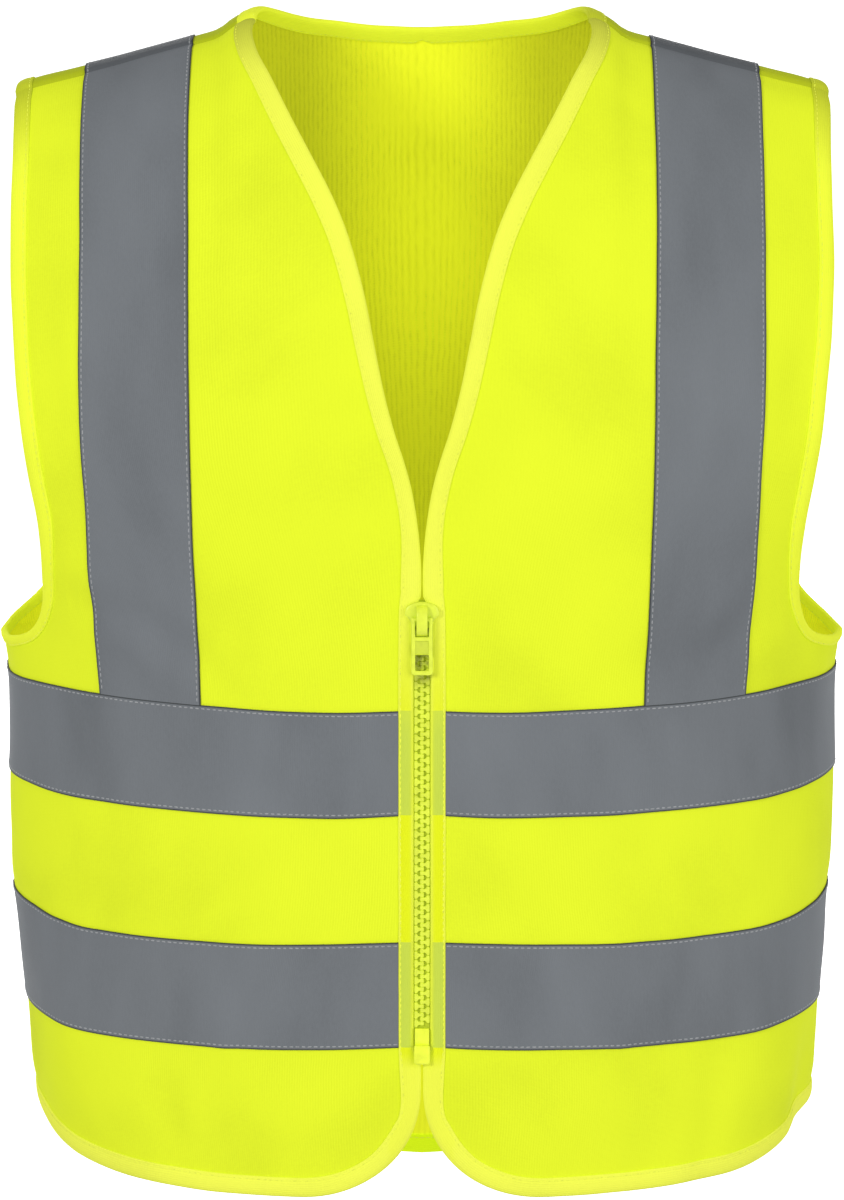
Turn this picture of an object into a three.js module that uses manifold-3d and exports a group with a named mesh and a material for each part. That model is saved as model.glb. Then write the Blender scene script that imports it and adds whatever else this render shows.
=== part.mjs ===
// A sleeveless safety vest of thin knit with reflective tapes and a front zip, standing hollow as worn.
// Millimetres, +Z up, front towards -Y. The origin is between the two neck points of the shoulders.
// Left and right are the wearer's: left is +X.

import * as THREE from 'three';
import { mergeVertices } from 'three/addons/utils/BufferGeometryUtils.js';
import Module from 'manifold-3d';

// ---------------------------------------------------------------- cloth

const CLOTH = 1.0;          // wall of the knit panels
const TRIM = 1.0;           // wall of tapes, bands and each leaf of the bindings
const GAP = 0.3;            // between pieces, at seams and between layers
const BINDING = 10;         // width of the folded binding
const ZIP_BINDING = 7.6;    // and of its strip beside the zip's chain

// ---------------------------------------------------------------- the worn form

// Level sections: half width, depth to the front and to the back, and how square each half is.
const SECTIONS = [
  { z: 40, half: 250, front: 118, back: 107, frontPower: 2.4, backPower: 2.4 },
  { z: -120, half: 250, front: 122, back: 112, frontPower: 2.4, backPower: 2.4 },
  { z: -205, half: 243, front: 125, back: 115, frontPower: 2.35, backPower: 2.25 },
  { z: -272, half: 223, front: 127, back: 115, frontPower: 2.15, backPower: 2.05 },
  { z: -316, half: 213.8, front: 128, back: 113, frontPower: 2.02, backPower: 1.95 },
  { z: -345, half: 211, front: 128, back: 112, frontPower: 2.0, backPower: 1.95 },
  { z: -401, half: 211, front: 127.5, back: 110, frontPower: 2.05, backPower: 2.0 },
  { z: -428, half: 210.2, front: 127, back: 109, frontPower: 2.1, backPower: 2.1 },
  { z: -452, half: 207, front: 126.5, back: 108.5, frontPower: 2.2, backPower: 2.2 },
  { z: -478, half: 204.9, front: 126, back: 108, frontPower: 2.3, backPower: 2.25 },
  { z: -533, half: 201.3, front: 124, back: 107, frontPower: 2.4, backPower: 2.3 },
  { z: -556, half: 197.2, front: 123, back: 106.5, frontPower: 2.38, backPower: 2.3 },
  { z: -640, half: 190, front: 121, back: 105, frontPower: 2.3, backPower: 2.3 },
];

// The shoulder ridge, falling from the neck to the tip; it runs on unseen between the neck points.
const RIDGE = [
  { x: -40, z: 15 },
  { x: 0, z: 21 },
  { x: 40, z: 15 },
  { x: 80, z: 0 },
  { x: 92, z: -3.6 },
  { x: 102, z: -10.4 },
  { x: 113, z: -13.6 },
  { x: 150, z: -23.8 },
  { x: 173, z: -29.6 },
  { x: 194, z: -35.3 },
  { x: 206, z: -40.6 },
  { x: 250, z: -54 },
];
const FRONT_ROUND = 200;    // drop below the ridge over which the front rounds to its full depth
const BACK_ROUND = 174;     // the same, down the back
const SEAM_DROP = 3.2;      // the shoulder seam lies in front of the ridge, this far below it

// Soft folds of the worn cloth: middle height, half height, turn round the girth (0 centre front,
// 90 side seam, 180 centre back), half width in turn, depth in (+) or out (-), lean in turn per mm.
const FOLDS = [
  { z: -300, reach: 60, turn: 62, spread: 12, depth: 2.2, lean: 0.10 },
  { z: -330, reach: 80, turn: 84, spread: 10, depth: 1.8, lean: -0.05 },
  { z: -545, reach: 70, turn: 30, spread: 9, depth: 2.0, lean: 0.02 },
  { z: -550, reach: 80, turn: 52, spread: 9, depth: -2.0, lean: 0.03 },
  { z: -540, reach: 75, turn: 74, spread: 9, depth: 2.4, lean: -0.03 },
  { z: -570, reach: 90, turn: 104, spread: 10, depth: -2.2, lean: 0.02 },
  { z: -560, reach: 90, turn: 128, spread: 11, depth: 2.4, lean: -0.02 },
  { z: -580, reach: 95, turn: 152, spread: 11, depth: -2.0, lean: 0.02 },
  { z: -250, reach: 80, turn: 142, spread: 10, depth: 2.4, lean: -0.08 },
  { z: -130, reach: 70, turn: 165, spread: 12, depth: -1.8, lean: 0.04 },
];

// ---------------------------------------------------------------- cut lines on the form

// Front edge of a front panel, down the V neck and the zip: its distance from the centre line.
const FRONT_EDGE = [
  { z: -2, x: 82.2 },
  { z: -9, x: 83.8 },
  { z: -17, x: 81.7 },
  { z: -31, x: 73.7 },
  { z: -52, x: 62.2 },
  { z: -69, x: 52.6 },
  { z: -87, x: 43 },
  { z: -103, x: 36.2 },
  { z: -120, x: 30.9 },
  { z: -137, x: 26.7 },
  { z: -158, x: 22.6 },
  { z: -180, x: 18.1 },
  { z: -198, x: 13.4 },
  { z: -212, x: 8.8 },
  { z: -226, x: 5.0 },
  { z: -240, x: 2.6 },
  { z: -254, x: 1.0 },
  { z: -268, x: 0.3 },
  { z: -277.5, x: 0.4 },
  { z: -281, x: 2.3 },
  { z: -285, x: 3.2 },
  { z: -290, x: 3.9 },
  { z: -500, x: 3.9 },
];
// Width of the front edge's binding down to the zip, where its two inner lines hang plumb.
const FRONT_BINDING = [
  { z: 0, width: 9.2 },
  { z: -60, width: BINDING },
  { z: -134, width: 9.8 },
  { z: -190, width: 8.8 },
  { z: -212, width: 8.5 },
  { z: -236, width: 9.5 },
  { z: -250, width: 10.1 },
  { z: -270, width: 11.2 },
  { z: -277.5, width: 11.1 },
  { z: -281, width: 9.2 },
  { z: -285, width: 8.3 },
  { z: -290, width: ZIP_BINDING },
];
// Width of an armhole's binding by the distance still to go to the side seam.
const ARM_BINDING = [
  { left: 0, width: 5 },
  { left: 12, width: 5.8 },
  { left: 32, width: 7.6 },
  { left: 60, width: 9.2 },
];
const CORNER_BINDING = 12.4;  // width of the front edge's binding where the round corner starts
const MEET = 0.4;         // the front edges' distance from the centre line below the zip

const CORNER = { x: 62, z: -521.7, width: 61.5, height: 56, power: 2.15 };   // round front hem corner

const ARMPIT = -312;      // height of the armhole edge at the side seam

// Armhole edge of a front panel, from the shoulder seam to the side seam.
const ARMHOLE_FRONT = [
  { z: -38, x: 202.4 },
  { z: -56, x: 201.9 },
  { z: -104, x: 201.6 },
  { z: -152, x: 200.2 },
  { z: -176, x: 198.3 },
  { z: -200, x: 195.7 },
  { z: -225, x: 191.9 },
  { z: -250, x: 188.2 },
  { z: -268, x: 187.2 },
  { z: -284, x: 188 },
  { z: -295, x: 190.5 },
  { z: -303, x: 194.5 },
  { z: -308, x: 199.5 },
  { z: -310.8, x: 205.5 },
  { z: -313, x: 214 },
];

// Armhole edge of the back panel, by the run over the shoulder and down the back.
const ARMHOLE_BACK = [
  { run: -36, x: 202.4 },
  { run: 40, x: 201.8 },
  { run: 110, x: 200.4 },
  { run: 180, x: 198.4 },
  { run: 240, x: 195.7 },
  { run: 290, x: 193 },
  { run: 325, x: 191.6 },
  { run: 345, x: 192 },
  { run: 355, x: 193.2 },
  { run: 360.5, x: 195.6 },
  { run: 363, x: 199.2 },
  { run: 364.8, x: 204 },
  { run: 366.6, x: 208.5 },
  { run: 368.5, x: 211.6 },
  { run: 370.5, x: 214 },
];

// Back neck edge by its share of the way from the centre to the shoulder seam.
const NECK_BACK = [
  { way: -0.116, x: -20, run: 102.6 },
  { way: 0, x: 0, run: 107.5 },
  { way: 0.116, x: 20, run: 102.6 },
  { way: 0.242, x: 39, run: 91.4 },
  { way: 0.373, x: 55, run: 76 },
  { way: 0.519, x: 67, run: 54 },
  { way: 0.688, x: 76, run: 24 },
  { way: 0.845, x: 80.5, run: -6 },
  { way: 1, x: 82.5, run: -36 },
];

// The reflective tape over each shoulder: its two edges, by height.
const SHOULDER_TAPE = [
  { z: -14, inner: 113.4, outer: 167.8 },
  { z: -90, inner: 113.1, outer: 166.2 },
  { z: -186, inner: 112, outer: 165.4 },
  { z: -235, inner: 111.3, outer: 163.6 },
  { z: -286, inner: 109.6, outer: 161.3 },
  { z: -332, inner: 107.8, outer: 158.8 },
];

// Level lines round the body below the armholes, by turn round the girth.
const LEVELS = [
  { turn: 0, armpit: -319, upperTop: -333.1, upperBottom: -384.5, lowerTop: -447.6, lowerBottom: -500.6 },
  { turn: 12, armpit: -319.2, upperTop: -334.8, upperBottom: -386.7, lowerTop: -449.3, lowerBottom: -502.4 },
  { turn: 28, armpit: -319.5, upperTop: -334, upperBottom: -387, lowerTop: -450.7, lowerBottom: -503.1 },
  { turn: 50, armpit: -320.5, upperTop: -332, upperBottom: -386, lowerTop: -450.4, lowerBottom: -503 },
  { turn: 60, armpit: -321, upperTop: -330.8, upperBottom: -385, lowerTop: -448.5, lowerBottom: -501.3 },
  { turn: 70, armpit: -321.2, upperTop: -330.2, upperBottom: -383, lowerTop: -445, lowerBottom: -499.6 },
  { turn: 90, armpit: -321.3, upperTop: -329.8, upperBottom: -381, lowerTop: -442.4, lowerBottom: -498.4 },
  { turn: 135, armpit: -321, upperTop: -331, upperBottom: -382.5, lowerTop: -445.5, lowerBottom: -499 },
  { turn: 180, armpit: -321, upperTop: -332.5, upperBottom: -383, lowerTop: -448, lowerBottom: -500 },
];

// The hem edge round the girth.
const HEM = [
  { turn: 0, z: -577.7 },
  { turn: 27, z: -577.7 },
  { turn: 42, z: -575.2 },
  { turn: 58, z: -569.6 },
  { turn: 66, z: -565 },
  { turn: 72, z: -562 },
  { turn: 90, z: -554.8 },
  { turn: 115, z: -565 },
  { turn: 145, z: -595 },
  { turn: 165, z: -611 },
  { turn: 180, z: -616 },
];

// ---------------------------------------------------------------- curves from the tables

// A smooth curve through a table's rows that never overshoots between them.
function curve(table, key, value) {
  const rows = table.map((row) => [row[key], row[value]]).sort((a, b) => a[0] - b[0]);
  const slopes = rows.slice(1).map((row, i) => (row[1] - rows[i][1]) / (row[0] - rows[i][0]));
  const tangents = rows.map((row, i) => {
    if (i === 0) return slopes[0];
    if (i === rows.length - 1) return slopes[i - 1];
    const [before, after] = [slopes[i - 1], slopes[i]];
    return before * after <= 0 ? 0 : (2 * before * after) / (before + after);
  });
  return (at) => {
    const x = THREE.MathUtils.clamp(at, rows[0][0], rows[rows.length - 1][0]);
    let i = 0;
    while (i < rows.length - 2 && x > rows[i + 1][0]) i += 1;
    const span = rows[i + 1][0] - rows[i][0];
    const t = (x - rows[i][0]) / span;
    const start = rows[i][1] * (1 + 2 * t) * (1 - t) ** 2 + tangents[i] * span * t * (1 - t) ** 2;
    const end = rows[i + 1][1] * t * t * (3 - 2 * t) + tangents[i + 1] * span * t * t * (t - 1);
    return start + end;
  };
}

const halfWidth = curve(SECTIONS, 'z', 'half');
const frontDepth = curve(SECTIONS, 'z', 'front');
const backDepth = curve(SECTIONS, 'z', 'back');
const frontPower = curve(SECTIONS, 'z', 'frontPower');
const backPower = curve(SECTIONS, 'z', 'backPower');
const ridge = curve(RIDGE, 'x', 'z');
const frontEdge = curve(FRONT_EDGE, 'z', 'x');
const frontBinding = curve(FRONT_BINDING, 'z', 'width');
const armBinding = curve(ARM_BINDING, 'left', 'width');
const armholeFront = curve(ARMHOLE_FRONT, 'z', 'x');
const armholeBack = curve(ARMHOLE_BACK, 'run', 'x');
const neckX = curve(NECK_BACK, 'way', 'x');
const neckRun = curve(NECK_BACK, 'way', 'run');
const tapeInner = curve(SHOULDER_TAPE, 'z', 'inner');
const tapeOuter = curve(SHOULDER_TAPE, 'z', 'outer');
const hem = curve(HEM, 'turn', 'z');
const level = (name) => curve(LEVELS, 'turn', name);

const lerp = THREE.MathUtils.lerp;
const QUARTER = Math.PI / 2;

// ---------------------------------------------------------------- places on the form

// A place is an angle out from the centre line, 0 to 90 degrees at the side seam, and a run over the
// shoulder from the ridge, + down the back and - down the front. The cloth turns down from the ridge
// on a circle of the rounding drop, then falls straight.
function dropOfRun(run) {
  const round = run < 0 ? FRONT_ROUND : BACK_ROUND;
  const way = Math.abs(run);
  if (way < round * QUARTER) return round * (1 - Math.cos(way / round));
  return round + way - round * QUARTER;
}

function runOfDrop(drop, back) {
  const round = back ? BACK_ROUND : FRONT_ROUND;
  const bent = round * Math.acos(1 - THREE.MathUtils.clamp(drop / round, 0, 1));
  const way = bent + Math.max(drop - round, 0);
  return back ? way : -way;
}

const SEAM_RUN = runOfDrop(SEAM_DROP, false);

function outOf(x, z, back) {
  const power = back ? backPower(z) : frontPower(z);
  const reach = Math.min(Math.abs(x) / halfWidth(z), 1);
  return THREE.MathUtils.radToDeg(Math.asin(reach ** (power / 2)));
}

function placeAtHeight(x, z, back) {
  const reach = Math.min(x, halfWidth(z));
  return { out: outOf(reach, z, back), run: runOfDrop(ridge(reach) - z, back) };
}

function placeAtRun(x, run) {
  return { out: outOf(x, ridge(x) - dropOfRun(run), run > 0), run };
}

function placeOnSide(z, back) {
  return placeAtHeight(halfWidth(z), z, back);
}

function foldDepth(turn, z) {
  let depth = 0;
  for (const fold of FOLDS) {
    const up = (z - fold.z) / fold.reach;
    const round = (turn - fold.turn - fold.lean * (z - fold.z)) / fold.spread;
    depth += fold.depth * Math.exp(-up * up - round * round);
  }
  return depth;
}

// The outer face of the cloth at a place, on the +X side.
function skin({ out, run }) {
  const back = run > 0;
  const round = back ? BACK_ROUND : FRONT_ROUND;
  const close = Math.sin(Math.min(Math.abs(run) / round, QUARTER));
  const angle = THREE.MathUtils.degToRad(Math.min(out, 90));
  const [across, ahead] = [Math.sin(angle), Math.max(Math.cos(angle), 0)];
  const drop = dropOfRun(run);
  let x = 100;
  let z = 0;
  for (let pass = 0; pass < 8; pass += 1) {
    z = ridge(Math.abs(x)) - drop;
    const square = 2 / (back ? backPower(z) : frontPower(z));
    x = halfWidth(z) * Math.sign(across) * Math.abs(across) ** square;
  }
  const square = 2 / (back ? backPower(z) : frontPower(z));
  const depth = (back ? backDepth(z) : frontDepth(z)) * ahead ** square * close;
  const shrink = 1 - foldDepth(back ? 180 - out : out, z) / (Math.hypot(x, depth) + 1);
  return new THREE.Vector3(x * shrink, (back ? depth : -depth) * shrink, z);
}

// Steps along the form at a place: per degree out and per millimetre of run.
function steps({ out, run }) {
  const near = Math.min(out, 89.5);
  const far = run >= 0 ? run + 0.5 : run - 0.5;
  const perDegree = skin({ out: near + 0.5, run }).sub(skin({ out: near - 0.5, run }));
  const perRun = skin({ out, run: far }).sub(skin({ out, run })).divideScalar(far - run);
  return { perDegree, perRun };
}

function outward(place) {
  const { perDegree, perRun } = steps(place);
  return perDegree.cross(perRun).normalize();
}

// The place a given width inside an edge, square to it. The edge is a function of one parameter, and
// turned is 1 where the cloth lies to the left of its way as seen from outside, -1 to the right.
function inset(edge, at, step, width, turned) {
  const place = edge(at);
  const along = skin(edge(at + step)).sub(skin(edge(at - step))).normalize();
  const inward = outward(place).cross(along).multiplyScalar(turned * width);
  const { perDegree, perRun } = steps(place);
  const [dd, dr, rr] = [perDegree.dot(perDegree), perDegree.dot(perRun), perRun.dot(perRun)];
  const [wd, wr] = [inward.dot(perDegree), inward.dot(perRun)];
  const scale = dd * rr - dr * dr;
  return {
    out: THREE.MathUtils.clamp(place.out + (wd * rr - wr * dr) / scale, 0, 90),
    run: place.run + (wr * dd - wd * dr) / scale,
  };
}

// ---------------------------------------------------------------- panels as grids of places

// Each panel is a grid of rows from the shoulder to the hem and columns from the centre to the side.
// Round its bound edges it has a rim of one more row or column, the binding's width from the next.
const UPPER_ROWS = 14;      // rows from the shoulder seam to the armpit
const BELOW = [             // rows below the armpit, each ending at a level line
  { to: 'upperTop', rows: 1 },
  { to: 'upperBottom', rows: 2 },
  { to: 'lowerTop', rows: 2 },
  { to: 'lowerBottom', rows: 2 },
];
const HEM_ROWS = 6;         // rows from the lower band to the hem binding
const CORNER_ROWS = 4;      // the lowest of these run along the round front corner
const TAPE_COLUMNS = 3;
const SIDE_COLUMNS = 5;     // from the shoulder tape to the armhole binding or the side seam
const FRONT_COLUMNS = 4;    // from the front binding to the shoulder tape
const NECK_COLUMNS = 7;     // from the centre back to the end of the neck binding
const CORNER_TURN = 48;     // the grid's corner on the round hem corner, degrees round it
const SPREAD = {            // how unevenly the rows above the armpit follow one another down each edge
  frontNeck: 1.1,
  frontArm: 1.6,
  backMiddle: 1.2,
  backArm: 1.45,
  backAcross: 0.8,
};

const share = (i, n) => i / n;

// Height where an edge crosses the shoulder seam.
function seamHeight(edge) {
  let z = 0;
  for (let pass = 0; pass < 8; pass += 1) z = ridge(edge(z)) - SEAM_DROP;
  return z;
}

// Places between an inner and an outer one, through the shoulder tape's two edges.
function acrossPanel(inner, outer, innerColumns) {
  const row = [];
  const [from, to] = [skin(inner), skin(outer)];
  const tapeEdge = (edge) => {
    let x = edge(from.z);
    let run = inner.run;
    for (let pass = 0; pass < 4; pass += 1) {
      run = lerp(inner.run, outer.run, (x - from.x) / (to.x - from.x));
      x = edge(ridge(x) - dropOfRun(run));
    }
    return placeAtRun(x, run);
  };
  const knots = [
    { place: inner, columns: innerColumns },
    { place: tapeEdge(tapeInner), columns: TAPE_COLUMNS },
    { place: tapeEdge(tapeOuter), columns: SIDE_COLUMNS },
    { place: outer, columns: 0 },
  ];
  knots.slice(0, -1).forEach(({ place, columns }, k) => {
    const next = knots[k + 1].place;
    for (let i = 0; i < columns; i += 1) {
      const t = share(i, columns);
      row.push({ out: lerp(place.out, next.out, t), run: lerp(place.run, next.run, t) });
    }
  });
  row.push(outer);
  return row;
}

// A row of the lower body on a level line.
function levelRow(heightAt, innerX, innerColumns, back) {
  const at = (out) => heightAt(back ? 180 - out : out);
  const placeNear = (x) => {
    let z = at(0);
    for (let pass = 0; pass < 4; pass += 1) z = at(outOf(x, z, back));
    return placeAtHeight(x, z, back);
  };
  const stops = [placeNear(innerX), placeNear(tapeInner(-400)), placeNear(tapeOuter(-400)), { out: 90 }];
  const columns = [innerColumns, TAPE_COLUMNS, SIDE_COLUMNS];
  const row = [];
  columns.forEach((n, k) => {
    for (let i = k === 0 ? 0 : 1; i <= n; i += 1) {
      const out = lerp(stops[k].out, stops[k + 1].out, share(i, n));
      let place = { out, run: back ? 300 : -300 };
      for (let pass = 0; pass < 4; pass += 1) {
        const reach = Math.min(skin(place).x, halfWidth(at(out)));
        place = { out, run: runOfDrop(ridge(reach) - at(out), back) };
      }
      row.push(place);
    }
  });
  return row;
}

function lowerRows(innerX, innerColumns, back) {
  const rows = [];
  let from = level('armpit');
  for (const { to, rows: count } of BELOW) {
    const [start, end] = [from, level(to)];
    for (let i = 1; i <= count; i += 1) {
      const t = share(i, count);
      rows.push(levelRow((turn) => lerp(start(turn), end(turn), t), innerX, innerColumns, back));
    }
    from = end;
  }
  return rows;
}

const rimOf = (edge, at, step, turned) => inset(edge, at, step, BINDING, turned);
const cornerRim = (turn) => inset(
  cornerPlace, turn, 0.4, lerp(CORNER_BINDING, BINDING, Math.min(1, turn / CORNER_TURN)), 1);

// The hem edge at an angle out, and the round front corner by its turn from upright to level.
function hemPlace(out, back) {
  const z = hem(back ? 180 - out : out);
  const power = back ? backPower(z) : frontPower(z);
  const x = halfWidth(z) * Math.sin(THREE.MathUtils.degToRad(out)) ** (2 / power);
  return { out, run: runOfDrop(ridge(x) - z, back) };
}

function cornerPlace(turn) {
  const angle = THREE.MathUtils.degToRad(turn);
  const x = CORNER.x - CORNER.width * Math.max(Math.cos(angle), 0) ** (2 / CORNER.power);
  const z = CORNER.z - CORNER.height * Math.max(Math.sin(angle), 0) ** (2 / CORNER.power);
  return placeAtHeight(x, z, false);
}

// Rows between the last level row and the hem's inner line.
function rowsToHem(top, bottom, inners) {
  const rows = [];
  for (let k = 1; k <= HEM_ROWS; k += 1) {
    const t = share(k, HEM_ROWS);
    const row = top.map((place, c) => ({
      out: lerp(place.out, bottom[c].out, t),
      run: lerp(place.run, bottom[c].run, t),
    }));
    if (inners) row[0] = inners[k - 1];
    rows.push(row);
  }
  return rows;
}

// The front panel of the +X side: rows from the shoulder seam down, columns from the front edge out.
function frontPlaces() {
  const neckTop = seamHeight(frontEdge);
  const armTop = seamHeight(armholeFront);
  const neckLine = (z) => placeAtHeight(frontEdge(z), z, false);
  const armLine = (z) => placeAtHeight(armholeFront(z), z, false);
  const rows = [];
  for (let i = 0; i <= UPPER_ROWS; i += 1) {
    const t = share(i, UPPER_ROWS);
    const neckZ = lerp(neckTop, level('armpit')(0), t ** SPREAD.frontNeck);
    const armZ = lerp(armTop, ARMPIT, 1 - (1 - t) ** SPREAD.frontArm);
    const last = i === UPPER_ROWS;
    const inner = inset(neckLine, neckZ, 0.5, frontBinding(neckZ), -1);
    const wide = armBinding(armZ - ARMPIT);
    const outer = last ? placeOnSide(ARMPIT - wide, false) : inset(armLine, armZ, 0.5, wide, 1);
    if (i === 0) {
      inner.run = SEAM_RUN;
      outer.run = SEAM_RUN;
    }
    const armEdge = last ? placeOnSide(ARMPIT, false) : armLine(armZ);
    rows.push([neckLine(neckZ), ...acrossPanel(inner, outer, FRONT_COLUMNS), armEdge]);
  }
  const zipEdge = frontEdge(-400);
  for (const row of lowerRows(zipEdge + ZIP_BINDING, FRONT_COLUMNS, false)) {
    const z = skin(row[0]).z;
    rows.push([placeAtHeight(zipEdge, z, false), ...row, null]);
  }
  const top = rows[rows.length - 1].slice(1, -1);
  const cornerEnd = outOf(CORNER.x, CORNER.z - CORNER.height, false);
  const hemOuts = top.map(({ out }, c) => {
    if (c < 3) return cornerEnd;
    return c < FRONT_COLUMNS ? (cornerEnd + top[FRONT_COLUMNS].out) / 2 : out;
  });
  const hemEdge = top.map((_, c) => {
    if (c < 3) return cornerPlace(lerp(CORNER_TURN, 90, c / 2));
    return hemPlace(hemOuts[c], false);
  });
  const hemInner = top.map((_, c) => {
    if (c < 2) return cornerRim(lerp(CORNER_TURN, 90, c / 2));
    if (c === top.length - 1) return placeOnSide(hem(90) + BINDING, false);
    return rimOf((at) => hemPlace(at, false), hemOuts[c], 0.5, 1);
  });
  // below the zip the edges close, then part again round the corners
  const cornerTurns = Array.from({ length: CORNER_ROWS + 1 }, (_, k) => (
    k === 0 ? 0.5 : CORNER_TURN * share(k, CORNER_ROWS)));
  const edges = cornerTurns.map((turn) => cornerPlace(turn));
  const inners = cornerTurns.map((turn) => cornerRim(turn));
  const meeting = {
    out: lerp(top[0].out, inners[0].out, 0.5),
    run: lerp(top[0].run, inners[0].run, 0.5),
  };
  edges.unshift(placeAtHeight(MEET, skin(meeting).z, false));
  inners.unshift(meeting);
  rowsToHem(top, hemInner, inners).forEach((row, k) => {
    rows.push([edges[k], ...row, null]);
  });
  rows.push([null, ...hemEdge, null]);
  return rows;
}

// The +X half of the back panel: rows from the neck rim down, columns from the centre out.
function backPlaces() {
  const neckLine = (way) => placeAtRun(Math.abs(neckX(way)), neckRun(way));
  const armLine = (run) => placeAtRun(armholeBack(run), run);
  const armEnd = placeOnSide(ARMPIT, true);
  const armpit = level('armpit');
  const blank = SIDE_COLUMNS + TAPE_COLUMNS + 2;
  const ways = Array.from({ length: NECK_COLUMNS + 1 }, (_, c) => share(c, NECK_COLUMNS));
  const neckInner = ways.map((way, c) => (c === 0
    ? { out: 0, run: neckRun(0) + BINDING }
    : rimOf(neckLine, Math.min(way, 0.995), 0.005, 1)));
  neckInner[NECK_COLUMNS].run = SEAM_RUN;
  const rows = [[...ways.map((way) => neckLine(way)), ...Array(blank).fill(null)]];
  rows[0][NECK_COLUMNS].run = SEAM_RUN;
  for (let i = 0; i <= UPPER_ROWS; i += 1) {
    const t = share(i, UPPER_ROWS);
    const down = t ** SPREAD.backMiddle;
    const last = i === UPPER_ROWS;
    const armRun = lerp(SEAM_RUN, armEnd.run, 1 - (1 - t) ** SPREAD.backArm);
    const wide = armBinding(armEnd.run - armRun);
    const outer = last ? placeOnSide(ARMPIT - wide, true) : inset(armLine, armRun, 1, wide, 1);
    if (i === 0) outer.run = SEAM_RUN;
    const middle = neckInner.map((place, c) => {
      const toX = tapeInner(ARMPIT) * share(c, NECK_COLUMNS + 1);
      const toRun = runOfDrop(ridge(toX) - armpit(180 - 90 * share(c, 2 * NECK_COLUMNS)), true);
      const x = lerp(skin(place).x, toX, THREE.MathUtils.smoothstep(t, 0, SPREAD.backAcross));
      return placeAtRun(x, lerp(place.run, toRun, down));
    });
    if (i === 0) neckInner.forEach((place, c) => { middle[c] = place; });
    const row = [...middle.slice(0, -1), ...acrossPanel(middle[NECK_COLUMNS], outer, 1)];
    rows.push([...row, last ? armEnd : armLine(armRun)]);
  }
  for (const row of lowerRows(0, NECK_COLUMNS + 1, true)) rows.push([...row, null]);
  const top = rows[rows.length - 1].slice(0, -1);
  const hemInner = top.map(({ out }) => {
    if (out < 0.01) return { out: 0, run: hemPlace(0, true).run - BINDING };
    if (out > 89.9) return placeOnSide(hem(90) + BINDING, true);
    return rimOf((at) => hemPlace(at, true), out, 0.5, -1);
  });
  for (const row of rowsToHem(top, hemInner, null)) rows.push([...row, null]);
  rows.push([...top.map(({ out }) => hemPlace(out, true)), null]);
  return rows;
}

// ---------------------------------------------------------------- points, walls and bindings

// A point of the cloth's outer face with the way out of the cloth, mirrored for the -X side.
function pointAt(place, mirror) {
  if (!place) return null;
  const at = skin(place);
  const out = outward(place);
  if (place.out < 0.01) out.setX(0).normalize();
  if (mirror) {
    at.x = -at.x;
    out.x = -out.x;
  }
  return { at, out };
}

const pointGrid = (rows, mirror) => rows.map((row) => row.map((place) => pointAt(place, mirror)));

// Moves points towards others on the same grid, to open seams or draw a cut edge in.
function drawIn(grid, moves) {
  const moved = grid.map((row) => row.map((point) => point && { at: point.at.clone(), out: point.out }));
  for (const { from: [r, c], to: [tr, tc], by } of moves) {
    const way = grid[tr][tc].at.clone().sub(grid[r][c].at).normalize();
    moved[r][c].at.addScaledVector(way, by);
  }
  return moved;
}

// A closed solid from its points and faces, turned so that its faces point out.
function solid(points, faces) {
  const triangles = faces.flatMap((f) => (f.length === 3 ? [f] : [[f[0], f[1], f[2]], [f[0], f[2], f[3]]]));
  const volume = triangles.reduce((sum, [a, b, c]) => {
    const cross = new THREE.Vector3().crossVectors(points[b], points[c]);
    return sum + points[a].dot(cross);
  }, 0);
  const wound = volume < 0 ? triangles.map(([a, b, c]) => [a, c, b]) : triangles;
  const geometry = new THREE.BufferGeometry();
  const values = points.flatMap((p) => [p.x, p.y, p.z]);
  geometry.setAttribute('position', new THREE.Float32BufferAttribute(values, 3));
  geometry.setIndex(wound.flat());
  geometry.computeVertexNormals();
  return geometry;
}

const lift = (point, by) => point.at.clone().addScaledVector(point.out, by);

// A wall over a grid, between two distances out from the cloth's outer face.
function wall(grid, inner, outer) {
  const seen = new Map();
  const points = [];
  const index = (point) => {
    const key = point.at.toArray().map((v) => v.toFixed(3)).join();
    if (!seen.has(key)) {
      seen.set(key, points.length);
      points.push(lift(point, outer), lift(point, inner));
    }
    return seen.get(key);
  };
  const faces = [];
  const edges = new Map();
  for (let r = 0; r < grid.length - 1; r += 1) {
    for (let c = 0; c < grid[r].length - 1; c += 1) {
      const corners = [grid[r][c], grid[r + 1][c], grid[r + 1][c + 1], grid[r][c + 1]];
      if (corners.some((point) => !point)) continue;
      const face = corners.map(index);
      faces.push(face, [face[0] + 1, face[3] + 1, face[2] + 1, face[1] + 1]);
      face.forEach((a, k) => {
        const b = face[(k + 1) % 4];
        if (edges.has(`${b}-${a}`)) edges.delete(`${b}-${a}`);
        else edges.set(`${a}-${b}`, [a, b]);
      });
    }
  }
  for (const [a, b] of edges.values()) faces.push([b, a, a + 1, b + 1]);
  return solid(points, faces);
}

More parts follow.
